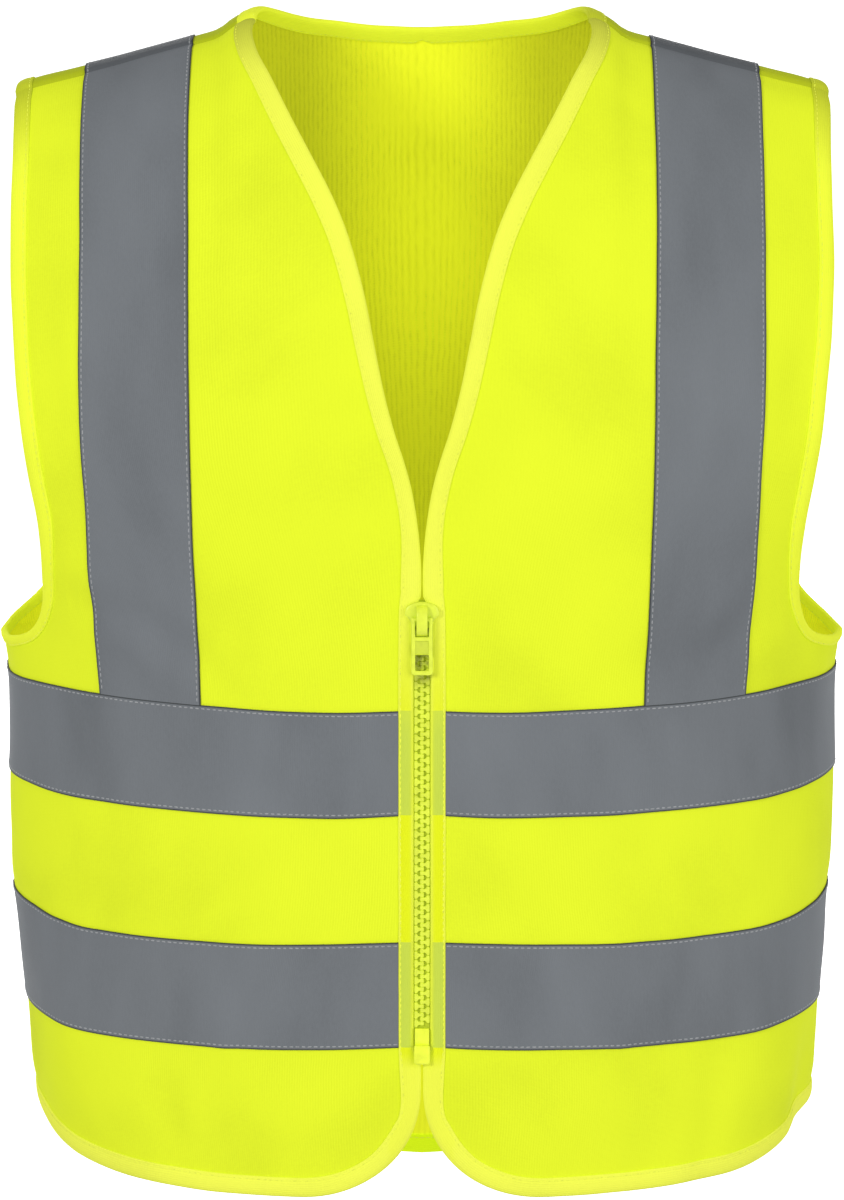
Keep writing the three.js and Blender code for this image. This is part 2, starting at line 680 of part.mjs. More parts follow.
// A folded binding round an edge: two leaves and the fold, from pairs of edge and inner points.
// Its leaves split along the same diagonals as the wall between them: edgeFirst where each runs from
// a pair's edge point to the next pair's inner one.
function binding(pairs, edgeFirst) {
  const drawn = pairs.map((pair) => pair.map((point) => ({ at: point.at.clone(), out: point.out })));
  for (const [end, next] of [[0, 1], [pairs.length - 1, pairs.length - 2]]) {
    drawn[end].forEach((point, k) => {
      const way = pairs[next][k].at.clone().sub(pairs[end][k].at).normalize();
      point.at.addScaledVector(way, GAP / 2);
    });
  }
  const [outerFace, outerLeaf] = [GAP + TRIM, GAP];
  const [innerLeaf, innerFace] = [-CLOTH - GAP, -CLOTH - GAP - TRIM];
  const points = drawn.flatMap(([edge, inner]) => {
    const fold = { at: edge.at.clone().lerp(inner.at, TRIM / edge.at.distanceTo(inner.at)), out: edge.out };
    return [
      lift(edge, outerFace), lift(inner, outerFace), lift(inner, outerLeaf), lift(fold, outerLeaf),
      lift(fold, innerLeaf), lift(inner, innerLeaf), lift(inner, innerFace), lift(edge, innerFace),
    ];
  });
  const faces = [];
  for (let i = 0; i < drawn.length - 1; i += 1) {
    for (let k = 0; k < 8; k += 1) {
      const [a, b] = [i * 8 + k, i * 8 + ((k + 1) % 8)];
      const fromEdge = k === 0 || k === 4;
      faces.push(fromEdge === edgeFirst ? [a, b, b + 8, a + 8] : [b, b + 8, a + 8, a]);
    }
  }
  const cap = [[0, 1, 2, 3], [0, 3, 4, 7], [4, 5, 6, 7]];
  const last = (drawn.length - 1) * 8;
  cap.forEach((f) => faces.push([...f].reverse(), f.map((v) => v + last)));
  return solid(points, faces);
}

// Part of a grid lifted off the cloth as tape, its ends drawn in at seams.
function tape(grid, rows, columns, ends) {
  const part = grid.slice(rows[0], rows[1] + 1).map((row) => row.slice(columns[0], columns[1] + 1));
  const [bottom, right] = [part.length - 1, part[0].length - 1];
  const moves = [];
  part.forEach((row, r) => {
    moves.push({ from: [r, 0], to: [r, 1], by: ends.left ?? 0 });
    moves.push({ from: [r, right], to: [r, right - 1], by: ends.right ?? 0 });
  });
  part[0].forEach((_, c) => {
    moves.push({ from: [0, c], to: [1, c], by: ends.top ?? 0 });
    moves.push({ from: [bottom, c], to: [bottom - 1, c], by: ends.bottom ?? 0 });
  });
  return wall(drawIn(part, moves), GAP, GAP + TRIM);
}

// ---------------------------------------------------------------- the pieces

const group = new THREE.Group();

const MATERIALS = {
  knit: { color: 0xdcf52a, roughness: 0.85 },
  binding: { color: 0xe8fb4e, roughness: 0.8 },
  tape: { color: 0x7a7e82, roughness: 0.6, metalness: 0.1 },
  zip: { color: 0xdae84c, roughness: 0.5 },
};

function add(name, geometry, material) {
  const mesh = new THREE.Mesh(geometry, new THREE.MeshStandardMaterial(MATERIALS[material]));
  mesh.name = name;
  group.add(mesh);
}

const ARMPIT_ROW = UPPER_ROWS;
const UPPER_BAND = [ARMPIT_ROW + 1, ARMPIT_ROW + 3];
const LOWER_BAND = [ARMPIT_ROW + 5, ARMPIT_ROW + 7];
const RIM = TRIM + GAP;     // the cloth's cut edge lies this far inside the binding's fold

function addFront(side, mirror) {
  const grid = pointGrid(frontPlaces(), mirror);
  const hemRow = grid.length - 1;
  const armColumn = grid[0].length - 1;
  const seamColumn = armColumn - 1;
  const moves = [];
  for (let r = 0; r < hemRow; r += 1) moves.push({ from: [r, 0], to: [r, 1], by: RIM });
  for (let c = 1; c <= seamColumn; c += 1) moves.push({ from: [hemRow, c], to: [hemRow - 1, c], by: RIM });
  for (let r = 0; r <= ARMPIT_ROW; r += 1) moves.push({ from: [r, armColumn], to: [r, seamColumn], by: RIM });
  for (let c = 0; c <= armColumn; c += 1) moves.push({ from: [0, c], to: [1, c], by: GAP / 2 });
  for (let r = ARMPIT_ROW; r <= hemRow; r += 1) {
    moves.push({ from: [r, seamColumn], to: [r, seamColumn - 1], by: GAP / 2 });
  }
  moves.push({ from: [ARMPIT_ROW, armColumn], to: [ARMPIT_ROW - 1, armColumn], by: GAP / 2 });
  add(`panel_front_${side}`, wall(drawIn(grid, moves), -CLOTH, 0), 'knit');

  const edge = grid.slice(0, hemRow).map((row) => [row[0], row[1]]);
  for (let c = 2; c <= seamColumn; c += 1) edge.push([grid[hemRow][c], grid[hemRow - 1][c]]);
  add(`binding_front_${side}`, binding(edge, true), 'binding');
  const arm = grid.slice(0, ARMPIT_ROW + 1).map((row) => [row[armColumn], row[seamColumn]]);
  add(`binding_armhole_front_${side}`, binding(arm, false), 'binding');

  const tapeColumns = [1 + FRONT_COLUMNS, 1 + FRONT_COLUMNS + TAPE_COLUMNS];
  const shoulder = tape(grid, [0, UPPER_BAND[0]], tapeColumns, { top: GAP / 2, bottom: GAP });
  add(`tape_shoulder_front_${side}`, shoulder, 'tape');
  const bandEnds = { left: GAP, right: GAP / 2 };
  add(`band_upper_front_${side}`, tape(grid, UPPER_BAND, [1, seamColumn], bandEnds), 'tape');
  add(`band_lower_front_${side}`, tape(grid, LOWER_BAND, [1, seamColumn], bandEnds), 'tape');
}

function addBack() {
  const places = backPlaces();
  const halves = [pointGrid(places, false), pointGrid(places, true)];
  const grid = halves[0].map((row, r) => [...row.slice(1).reverse(), ...halves[1][r]]);
  const middle = places[0].length - 1;
  const last = 2 * middle;
  const hemRow = grid.length - 1;
  const armpitRow = ARMPIT_ROW + 1;
  const sides = [
    { name: 'left', rim: 0, seam: 1, next: 2, neck: middle - NECK_COLUMNS },
    { name: 'right', rim: last, seam: last - 1, next: last - 2, neck: middle + NECK_COLUMNS },
  ];
  const moves = [];
  for (const { rim, seam, next, neck } of sides) {
    for (let r = 1; r <= armpitRow; r += 1) moves.push({ from: [r, rim], to: [r, seam], by: RIM });
    for (let r = armpitRow; r <= hemRow; r += 1) moves.push({ from: [r, seam], to: [r, next], by: GAP / 2 });
    moves.push({ from: [armpitRow, rim], to: [armpitRow - 1, rim], by: GAP / 2 });
    for (let c = Math.min(rim, neck); c <= Math.max(rim, neck); c += 1) {
      moves.push({ from: [1, c], to: [2, c], by: GAP / 2 });
    }
    moves.push({ from: [0, neck], to: [0, neck + Math.sign(middle - neck)], by: GAP / 2 });
  }
  for (let c = middle - NECK_COLUMNS; c <= middle + NECK_COLUMNS; c += 1) {
    moves.push({ from: [0, c], to: [1, c], by: RIM });
  }
  for (let c = 1; c < last; c += 1) moves.push({ from: [hemRow, c], to: [hemRow - 1, c], by: RIM });
  add('panel_back', wall(drawIn(grid, moves), -CLOTH, 0), 'knit');

  const neckEdge = [];
  for (let c = middle - NECK_COLUMNS; c <= middle + NECK_COLUMNS; c += 1) {
    neckEdge.push([grid[0][c], grid[1][c]]);
  }
  add('binding_neck_back', binding(neckEdge, true), 'binding');
  const hemEdge = [];
  for (let c = 1; c < last; c += 1) hemEdge.push([grid[hemRow][c], grid[hemRow - 1][c]]);
  add('binding_hem_back', binding(hemEdge, false), 'binding');
  for (const { name, rim, seam } of sides) {
    const arm = grid.slice(1, armpitRow + 1).map((row) => [row[rim], row[seam]]);
    add(`binding_armhole_back_${name}`, binding(arm, name === 'left'), 'binding');
  }

  const tapeStart = SIDE_COLUMNS + 1;
  const tapeColumns = [tapeStart, tapeStart + TAPE_COLUMNS];
  const shoulderRows = [1, UPPER_BAND[0] + 1];
  const shoulderEnds = { top: GAP / 2, bottom: GAP };
  add('tape_shoulder_back_left', tape(grid, shoulderRows, tapeColumns, shoulderEnds), 'tape');
  const mirrored = tapeColumns.map((c) => last - c).reverse();
  add('tape_shoulder_back_right', tape(grid, shoulderRows, mirrored, shoulderEnds), 'tape');
  const bandEnds = { left: GAP / 2, right: GAP / 2 };
  const across = [1, last - 1];
  add('band_upper_back', tape(grid, UPPER_BAND.map((r) => r + 1), across, bandEnds), 'tape');
  add('band_lower_back', tape(grid, LOWER_BAND.map((r) => r + 1), across, bandEnds), 'tape');
}

// ---------------------------------------------------------------- the zip

const ZIP = {
  top: -266,                // upper ends of the woven tapes
  bottom: -508,             // and their lower ends
  chainTop: -295,           // the closed chain, from inside the slider
  chainBottom: -498.6,      // to the retainer box
  chainHalf: 3.5,
  chainFront: 1.2,
  chainBack: -2.2,
  tapeInner: 2.6,
  tapeMiddle: 11.5,
  tapeOuter: 17,
  tapeFront: -2.6,          // behind the binding's inner leaf
  step: 24,
};

function zipGrid(xs, top, bottom, mirror) {
  const count = Math.ceil((top - bottom) / ZIP.step);
  return Array.from({ length: count + 1 }, (_, i) => {
    const z = lerp(top, bottom, share(i, count));
    return xs.map((x) => pointAt(placeAtHeight(Math.abs(x), z, false), x < 0 || mirror));
  });
}

function addZip() {
  for (const [side, mirror] of [['left', false], ['right', true]]) {
    const grid = zipGrid([ZIP.tapeInner, ZIP.tapeMiddle, ZIP.tapeOuter], ZIP.top, ZIP.bottom, mirror);
    add(`zip_tape_${side}`, wall(grid, ZIP.tapeFront - TRIM, ZIP.tapeFront), 'zip');
  }
  const chain = zipGrid([-ZIP.chainHalf, 0, ZIP.chainHalf], ZIP.chainTop, ZIP.chainBottom, false);
  add('zip_chain', wall(chain, ZIP.chainBack, ZIP.chainFront), 'zip');
}

// Hardware is drawn flat, x across and z up, and given its depth by distances out from the zip line.
const PIVOT = { z: -288.2, out: 5.3 };
const zipLine = skin(placeAtHeight(0, PIVOT.z, false)).y;
const SLIDER = {
  top: -280,
  bottom: -300,
  headHalf: 8.3,
  headSwell: 0.3,           // the round shoulders swell past the head's half width
  brow: 0.6,                // the head's top falls by this to half its width
  droop: 1.8,               // and its corners are rounded off by this
  tailHalf: 5.1,
  shoulder: -286.5,
  waist: -292,
  front: 3.8,
  back: 1.8,
  rearFront: -4.0,
  rearBack: -5.6,
  rearScale: 0.8,
  postHalf: 1.7,
  postTop: -281.4,
  postBottom: -285,
  overlap: 0.4,             // the post runs this far into each plate
};
const BAIL = {
  half: 2.65,
  top: -281.4,
  bottom: -296.5,
  foot: 3.0,
  front: 8.1,
  crownTop: -285.7,
  crownBottom: -289.7,
  wall: 1.2,
  slotTop: -283.4,
  slotBottom: -292.6,
  slotBack: 3.82,
};
const TAB = {
  half: 5.1,
  thick: 1.6,
  bottom: -315.2,
  arm: 1.8,
  barHalf: 0.8,
  windowEnd: -298,
  lowerHalf: 3.0,
  lowerTop: -305.2,
  lowerBottom: -313,
};
const BOX = { half: 3.9, top: -499, bottom: -508.5, back: 1.6, front: 4, radius: 1 };
const boxLine = skin(placeAtHeight(0, BOX.top, false)).y;

// A flat outline in x and z, given depth between two distances out from a line of the zip.
function plate(shape, inner, outer, curveSegments = 6, line = zipLine) {
  const depth = outer - inner;
  const geometry = new THREE.ExtrudeGeometry(shape, { depth, bevelEnabled: false, curveSegments });
  geometry.rotateX(QUARTER);
  geometry.translate(0, line - inner, 0);
  return geometry;
}

function toManifold(wasm, geometry) {
  const bare = geometry.clone();
  bare.deleteAttribute('normal');
  bare.deleteAttribute('uv');
  const merged = mergeVertices(bare, 1e-4);
  return new wasm.Manifold(new wasm.Mesh({
    numProp: 3,
    vertProperties: new Float32Array(merged.attributes.position.array),
    triVerts: new Uint32Array(merged.index.array),
  }));
}

function fromManifold(manifold) {
  const mesh = manifold.getMesh();
  const geometry = new THREE.BufferGeometry();
  geometry.setAttribute('position', new THREE.Float32BufferAttribute(mesh.vertProperties, 3));
  geometry.setIndex(Array.from(mesh.triVerts));
  geometry.computeVertexNormals();
  return geometry;
}

// A rounded rectangle between two heights, centred on the zip.
function roundedPlate(half, top, bottom, radius, Outline = THREE.Shape) {
  const shape = new Outline();
  shape.moveTo(-half + radius, bottom);
  shape.lineTo(half - radius, bottom);
  shape.absarc(half - radius, bottom + radius, radius, -QUARTER, 0, false);
  shape.lineTo(half, top - radius);
  shape.absarc(half - radius, top - radius, radius, 0, QUARTER, false);
  shape.lineTo(-half + radius, top);
  shape.absarc(-half + radius, top - radius, radius, QUARTER, 2 * QUARTER, false);
  shape.lineTo(-half, bottom + radius);
  shape.absarc(-half + radius, bottom + radius, radius, 2 * QUARTER, 3 * QUARTER, false);
  return shape;
}

// The slider's face: a round head narrowing to the tail.
function sliderFace(scale) {
  const { headHalf, headSwell, brow, droop, tailHalf, top, bottom, shoulder, waist } = SLIDER;
  const [head, tail, turn] = [headHalf * scale, tailHalf * scale, shoulder - 2];
  const shape = new THREE.Shape();
  shape.moveTo(-tail, bottom);
  shape.lineTo(tail, bottom);
  shape.lineTo(tail, waist);
  shape.quadraticCurveTo(tail, turn, head, shoulder);
  shape.quadraticCurveTo(head + headSwell, top - droop, head / 2, top - brow);
  shape.quadraticCurveTo(head / 4, top, 0, top);
  shape.quadraticCurveTo(-head / 4, top, -head / 2, top - brow);
  shape.quadraticCurveTo(-head - headSwell, top - droop, -head, shoulder);
  shape.quadraticCurveTo(-tail, turn, -tail, waist);
  return shape;
}

// The bail from the side: an arch over the face with the slot that holds the tab's bar.
function bailArch() {
  const arch = new THREE.Shape();
  arch.moveTo(BAIL.bottom, BAIL.foot);
  arch.lineTo(BAIL.top, BAIL.foot);
  arch.quadraticCurveTo(BAIL.top, BAIL.front, BAIL.crownTop, BAIL.front);
  arch.lineTo(BAIL.crownBottom, BAIL.front);
  arch.quadraticCurveTo(BAIL.bottom + BAIL.wall, BAIL.front - BAIL.wall, BAIL.bottom, BAIL.foot);
  const slotFront = BAIL.front - BAIL.wall;
  const slot = new THREE.Path();
  slot.moveTo(BAIL.slotBottom, BAIL.slotBack);
  slot.lineTo(BAIL.slotBottom + BAIL.wall, slotFront);
  slot.lineTo(BAIL.slotTop - BAIL.wall, slotFront);
  slot.lineTo(BAIL.slotTop, BAIL.slotBack);
  arch.holes.push(slot);
  const depth = 2 * BAIL.half;
  const bail = new THREE.ExtrudeGeometry(arch, { depth, bevelEnabled: false, curveSegments: 5 });
  // drawn z across and out up: turned so that z is up and out is -Y
  return bail.applyMatrix4(new THREE.Matrix4().set(
    0, 0, 1, -BAIL.half,
    0, -1, 0, zipLine,
    1, 0, 0, 0,
    0, 0, 0, 1,
  ));
}

function sliderSolid(wasm) {
  const { back, front, rearBack, rearFront, rearScale, postHalf, postTop, postBottom, overlap } = SLIDER;
  const faceFront = plate(sliderFace(1), back, front, 5);
  const faceRear = plate(sliderFace(rearScale), rearBack, rearFront, 5);
  const postShape = roundedPlate(postHalf, postTop, postBottom, postHalf / 2);
  const post = plate(postShape, rearBack + overlap, front - overlap, 3);
  const pieces = [faceFront, faceRear, post, bailArch()].map((geometry) => toManifold(wasm, geometry));
  return fromManifold(pieces.reduce((whole, piece) => whole.add(piece)));
}

// The pull tab: a plate hung by its bar, with an upper and a lower window.
function tabShape() {
  const { half, arm, barHalf, bottom, windowEnd, lowerHalf, lowerTop, lowerBottom } = TAB;
  const shape = roundedPlate(half, PIVOT.z + barHalf, bottom, arm * 0.9);
  shape.holes.push(roundedPlate(half - arm, PIVOT.z - barHalf, windowEnd, arm / 3, THREE.Path));
  shape.holes.push(roundedPlate(lowerHalf, lowerTop, lowerBottom, arm / 2, THREE.Path));
  return shape;
}

const wasm = await Module();
wasm.setup();

addFront('left', false);
addFront('right', true);
addBack();
addZip();
add('zip_slider', sliderSolid(wasm), 'zip');
const tabBack = PIVOT.out - TAB.thick / 2;
add('zip_pull_tab', plate(tabShape(), tabBack, tabBack + TAB.thick, 3), 'zip');
const boxOutline = roundedPlate(BOX.half, BOX.top, BOX.bottom, BOX.radius);
add('zip_box', plate(boxOutline, BOX.back, BOX.front, 3, boxLine), 'zip');

export default group;
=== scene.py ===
"""A sleeveless safety vest of thin knit with reflective tapes, bound edges and a front zip.

Sizes in the form's tables are millimetres and everything made is in metres, in the row frame:
+Z up, the front towards -Y, the wearer's left is +X. The vest stands hollow, as worn.
"""

import math

import bmesh
import bpy
import numpy as np
from bpy.props import FloatProperty, FloatVectorProperty, PointerProperty
from bpy.types import Operator, Panel, PropertyGroup
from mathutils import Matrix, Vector


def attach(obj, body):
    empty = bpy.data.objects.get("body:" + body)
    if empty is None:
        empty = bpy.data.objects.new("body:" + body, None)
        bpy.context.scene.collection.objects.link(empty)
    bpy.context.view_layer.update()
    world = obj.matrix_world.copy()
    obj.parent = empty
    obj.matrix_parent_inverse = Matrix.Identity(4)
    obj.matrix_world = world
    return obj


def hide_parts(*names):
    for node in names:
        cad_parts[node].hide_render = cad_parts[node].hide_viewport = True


bl_info = {
    "name": "Safety Vest",
    "version": (1, 0, 0),
    "blender": (4, 5, 0),
    "location": "3D View > Sidebar > Safety Vest",
    "description": "Dresses the packed safety vest in knit, bindings, tapes, stitching and zip",
    "category": "Object",
}

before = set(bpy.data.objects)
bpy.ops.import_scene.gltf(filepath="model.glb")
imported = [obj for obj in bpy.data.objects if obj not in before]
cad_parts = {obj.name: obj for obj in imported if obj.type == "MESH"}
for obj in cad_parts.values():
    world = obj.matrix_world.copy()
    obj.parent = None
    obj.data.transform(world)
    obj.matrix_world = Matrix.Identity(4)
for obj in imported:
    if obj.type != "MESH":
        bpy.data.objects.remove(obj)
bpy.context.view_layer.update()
MM = 0.001
QUARTER = math.pi / 2

# ---------------------------------------------------------------- the worn form, in millimetres

# height, half width, depth to the front and to the back, power of the front and back half
SECTIONS = [
    (40, 250, 118, 107, 2.4, 2.4), (-120, 250, 122, 112, 2.4, 2.4),
    (-205, 243, 125, 115, 2.35, 2.25), (-272, 223, 127, 115, 2.15, 2.05),
    (-316, 213.8, 128, 113, 2.02, 1.95), (-345, 211, 128, 112, 2.0, 1.95),
    (-401, 211, 127.5, 110, 2.05, 2.0), (-428, 210.2, 127, 109, 2.1, 2.1),
    (-452, 207, 126.5, 108.5, 2.2, 2.2), (-478, 204.9, 126, 108, 2.3, 2.25),
    (-533, 201.3, 124, 107, 2.4, 2.3), (-556, 197.2, 123, 106.5, 2.38, 2.3),
    (-640, 190, 121, 105, 2.3, 2.3),
]
# x and height of the shoulder ridge
RIDGE = [
    (-40, 15), (0, 21), (40, 15), (80, 0), (92, -3.6), (102, -10.4), (113, -13.6), (150, -23.8),
    (173, -29.6), (194, -35.3), (206, -40.6), (250, -54),
]
FRONT_ROUND = 200
BACK_ROUND = 174
SEAM_DROP = 3.2
# height, half height, turn, half width in turn, depth, lean
FOLDS = [
    (-300, 60, 62, 12, 2.2, 0.10), (-330, 80, 84, 10, 1.8, -0.05), (-545, 70, 30, 9, 2.0, 0.02),
    (-550, 80, 52, 9, -2.0, 0.03), (-540, 75, 74, 9, 2.4, -0.03), (-570, 90, 104, 10, -2.2, 0.02),
    (-560, 90, 128, 11, 2.4, -0.02), (-580, 95, 152, 11, -2.0, 0.02),
    (-250, 80, 142, 10, 2.4, -0.08), (-130, 70, 165, 12, -1.8, 0.04),
]
# height and distance from the centre line of the front edge
FRONT_EDGE = [
    (-2, 82.2), (-9, 83.8), (-17, 81.7), (-31, 73.7), (-52, 62.2), (-69, 52.6), (-87, 43),
    (-103, 36.2), (-120, 30.9), (-137, 26.7), (-158, 22.6), (-180, 18.1), (-198, 13.4),
    (-212, 8.8), (-226, 5.0), (-240, 2.6), (-254, 1.0), (-268, 0.3), (-277.5, 0.4), (-281, 2.3),
    (-285, 3.2), (-290, 3.9), (-500, 3.9),
]
BINDING, ZIP_BINDING = 10.0, 7.6
# height and width of the front edge's binding down to the zip
FRONT_BINDING = [
    (0, 9.2), (-60, BINDING), (-134, 9.8), (-190, 8.8), (-212, 8.5), (-236, 9.5), (-250, 10.1),
    (-270, 11.2), (-277.5, 11.1), (-281, 9.2), (-285, 8.3), (-290, ZIP_BINDING),
]
# distance still to go to the side seam and width of an armhole's binding
ARM_BINDING = [(0, 5.0), (12, 5.8), (32, 7.6), (60, 9.2)]
CORNER_BINDING = 12.4
MEET = 0.4
CORNER_X, CORNER_Z, CORNER_WIDTH, CORNER_HEIGHT, CORNER_POWER = 62, -521.7, 61.5, 56, 2.15
ARMPIT = -312
ARMHOLE_FRONT = [
    (-38, 202.4), (-56, 201.9), (-104, 201.6), (-152, 200.2), (-176, 198.3), (-200, 195.7),
    (-225, 191.9), (-250, 188.2), (-268, 187.2), (-284, 188), (-295, 190.5), (-303, 194.5),
    (-308, 199.5), (-310.8, 205.5), (-313, 214),
]
# run over the shoulder and distance from the centre line
ARMHOLE_BACK = [
    (-36, 202.4), (40, 201.8), (110, 200.4), (180, 198.4), (240, 195.7), (290, 193), (325, 191.6),
    (345, 192), (355, 193.2), (360.5, 195.6), (363, 199.2), (364.8, 204), (366.6, 208.5),
    (368.5, 211.6), (370.5, 214),
]
# share of the way to the shoulder seam, distance from the centre line, run over the shoulder
NECK_BACK = [
    (-0.116, -20, 102.6), (0, 0, 107.5), (0.116, 20, 102.6), (0.242, 39, 91.4), (0.373, 55, 76),
    (0.519, 67, 54), (0.688, 76, 24), (0.845, 80.5, -6), (1, 82.5, -36),
]
# height and the shoulder tape's two edges
SHOULDER_TAPE = [
    (-14, 113.4, 167.8), (-90, 113.1, 166.2), (-186, 112, 165.4), (-235, 111.3, 163.6),
    (-286, 109.6, 161.3), (-332, 107.8, 158.8),
]
# turn round the girth, then the heights of the armpit line and of both bands' edges
LEVELS = [
    (0, -319, -333.1, -384.5, -447.6, -500.6), (12, -319.2, -334.8, -386.7, -449.3, -502.4),
    (28, -319.5, -334, -387, -450.7, -503.1), (50, -320.5, -332, -386, -450.4, -503),
    (60, -321, -330.8, -385, -448.5, -501.3), (70, -321.2, -330.2, -383, -445, -499.6),
    (90, -321.3, -329.8, -381, -442.4, -498.4), (135, -321, -331, -382.5, -445.5, -499),
    (180, -321, -332.5, -383, -448, -500),
]
HEM = [
    (0, -577.7), (27, -577.7), (42, -575.2), (58, -569.6), (66, -565), (72, -562), (90, -554.8),
    (115, -565), (145, -595), (165, -611), (180, -616),
]

# Soft creases of the worn cloth, each a shallow valley or, where its depth is below zero, a ridge:
# side of the vest (-1 front, 1 back), from x and height, to x and height, bow, half width, depth.
CREASES = [
    (-1, -178, -285, -98, -322, 9, 9, 1.3), (-1, -170, -262, -112, -330, -8, 10, -0.9),
    (-1, 180, -288, 92, -318, -8, 10, 1.1), (-1, 172, -258, 120, -330, 7, 9, -1.0),
    (-1, -150, -400, -60, -372, 5, 12, 1.0), (-1, -96, -342, -40, -392, 6, 10, -0.8),
    (-1, 62, -340, 128, -388, -6, 11, 1.0), (-1, 150, -352, 186, -392, 4, 9, 0.9),
    (-1, -182, -345, -150, -392, -4, 9, 0.9), (-1, -112, -448, -78, -505, 4, 10, 0.9),
    (-1, 40, -452, 88, -500, 4, 12, -0.8), (-1, 140, -446, 118, -510, -5, 9, 1.0),
    (-1, -166, -440, -178, -520, 4, 9, -0.9), (-1, -132, -520, -120, -572, 3, 8, 1.1),
    (-1, 148, -516, 138, -574, -3, 8, 1.0), (-1, 96, -524, 104, -576, 3, 9, -0.9),
    (-1, -90, -524, -98, -578, 3, 9, -0.8), (-1, -128, -60, -120, -170, 6, 12, 0.8),
    (-1, 136, -70, 146, -182, -6, 12, 0.8), (-1, -84, -110, -100, -230, -8, 16, -0.9),
    (-1, 80, -120, 92, -238, 8, 16, -0.9), (-1, -50, -262, -84, -312, 6, 14, 0.8),
    (-1, 46, -268, 78, -316, -6, 14, 0.7), (-1, -186, -120, -176, -210, 3, 8, 0.8),
    (-1, 188, -130, 178, -220, -3, 8, 0.7), (-1, 197, -520, 190, -578, 0, 15, 2.2),
    (1, -176, -270, -90, -318, 10, 11, 1.6), (1, 170, -262, 84, -322, -9, 11, 1.5),
    (1, -150, -292, -60, -330, 7, 10, -1.1), (1, 156, -300, 70, -328, -7, 10, -1.0),
    (1, -60, -110, -30, -230, 8, 18, 1.2), (1, 66, -100, 24, -240, -9, 18, 1.1),
    (1, -120, -70, -70, -150, 7, 14, -1.2), (1, 124, -80, 66, -160, -7, 14, -1.1),
    (1, -20, -150, 10, -300, 10, 20, -1.0), (1, -130, -345, -80, -390, 5, 11, 1.1),
    (1, -30, -338, 20, -386, -5, 13, 1.0), (1, 90, -340, 150, -384, 5, 11, -1.0),
    (1, -100, -455, -60, -500, 4, 12, -1.0), (1, 30, -450, 66, -500, 4, 12, 1.0),
    (1, 140, -450, 120, -520, -5, 10, 1.0), (1, -150, -450, -160, -530, 4, 10, 1.1),
    (1, -110, -530, -122, -600, 4, 10, -1.1), (1, 20, -530, 28, -606, -3, 12, 1.2),
    (1, 96, -530, 110, -600, 4, 10, 1.1), (1, -40, -534, -50, -606, 3, 11, -1.0),
    (1, 156, -526, 164, -578, -3, 9, -1.1),
]

CLOTH = 0.9
GAP = 0.25
TAPE_TOP = 0.85

DENSE = 6                  # rows and columns of the shell for each of the solid's
UPPER_ROWS = 14 * DENSE
BELOW = [("upper_top", 1), ("upper_bottom", 2), ("lower_top", 2), ("lower_bottom", 2)]
HEM_ROWS = 4 * DENSE
TAPE_COLUMNS = 3 * DENSE
SIDE_COLUMNS = 5 * DENSE
FRONT_COLUMNS = 4 * DENSE
NECK_COLUMNS = 7 * DENSE
CORNER_TURN = 48
SPREAD_FRONT_NECK, SPREAD_FRONT_ARM = 1.1, 1.6
SPREAD_BACK_MIDDLE, SPREAD_BACK_ARM, SPREAD_BACK_ACROSS = 1.2, 1.45, 0.8


def curve(table, value=1, key=0):
    """A smooth curve through two columns of a table, which never overshoots between its rows."""
    xs, ys = np.array(sorted((row[key], row[value]) for row in table), float).T
    slopes = np.diff(ys) / np.diff(xs)
    tangents = np.concatenate(([slopes[0]], np.zeros(len(xs) - 2), [slopes[-1]]))
    before, after = slopes[:-1], slopes[1:]
    same = before * after > 0
    tangents[1:-1][same] = 2 * (before * after)[same] / (before + after)[same]

    def at(v):
        v = np.clip(np.asarray(v, float), xs[0], xs[-1])
        i = np.clip(np.searchsorted(xs, v, side="left") - 1, 0, len(xs) - 2)
        span = xs[i + 1] - xs[i]
        t = (v - xs[i]) / span
        start = ys[i] * (1 + 2 * t) * (1 - t) ** 2 + tangents[i] * span * t * (1 - t) ** 2
        return start + ys[i + 1] * t * t * (3 - 2 * t) + tangents[i + 1] * span * t * t * (t - 1)

    return at


half_width, front_depth, back_depth, front_power, back_power = (
    curve(SECTIONS, k) for k in range(1, 6)
)
ridge, front_edge, hem = curve(RIDGE), curve(FRONT_EDGE), curve(HEM)
front_binding, arm_binding = curve(FRONT_BINDING), curve(ARM_BINDING)
armhole_front, armhole_back = curve(ARMHOLE_FRONT), curve(ARMHOLE_BACK)
neck_x, neck_run = curve(NECK_BACK, 1), curve(NECK_BACK, 2)
tape_inner, tape_outer = curve(SHOULDER_TAPE, 1), curve(SHOULDER_TAPE, 2)
levels = {
    name: curve(LEVELS, k + 1)
    for k, name in enumerate(["armpit", "upper_top", "upper_bottom", "lower_top", "lower_bottom"])
}


def lerp(a, b, t):
    return a + (b - a) * t


def drop_of_run(run):
    """How far a run over the shoulder lies below the ridge."""
    bend = np.where(run < 0, FRONT_ROUND, BACK_ROUND)
    way = np.abs(run)
    bent = bend * (1 - np.cos(np.minimum(way / bend, QUARTER)))
    return bent + np.maximum(way - bend * QUARTER, 0)


def run_of_drop(drop, back):
    bend = BACK_ROUND if back else FRONT_ROUND
    way = bend * np.arccos(1 - np.clip(drop / bend, 0, 1)) + np.maximum(drop - bend, 0)
    return way if back else -way


SEAM_RUN = float(run_of_drop(SEAM_DROP, False))


def place(out, run):
    """Places on the form: degrees out from the centre line, and the run over the shoulder."""
    return np.stack(np.broadcast_arrays(np.asarray(out, float), np.asarray(run, float)), -1)


def out_of(x, z, back):
    power = back_power(z) if back is True else front_power(z)
    if isinstance(back, np.ndarray):
        power = np.where(back, back_power(z), front_power(z))
    reach = np.minimum(np.abs(x) / half_width(z), 1)
    return np.degrees(np.arcsin(reach ** (power / 2)))


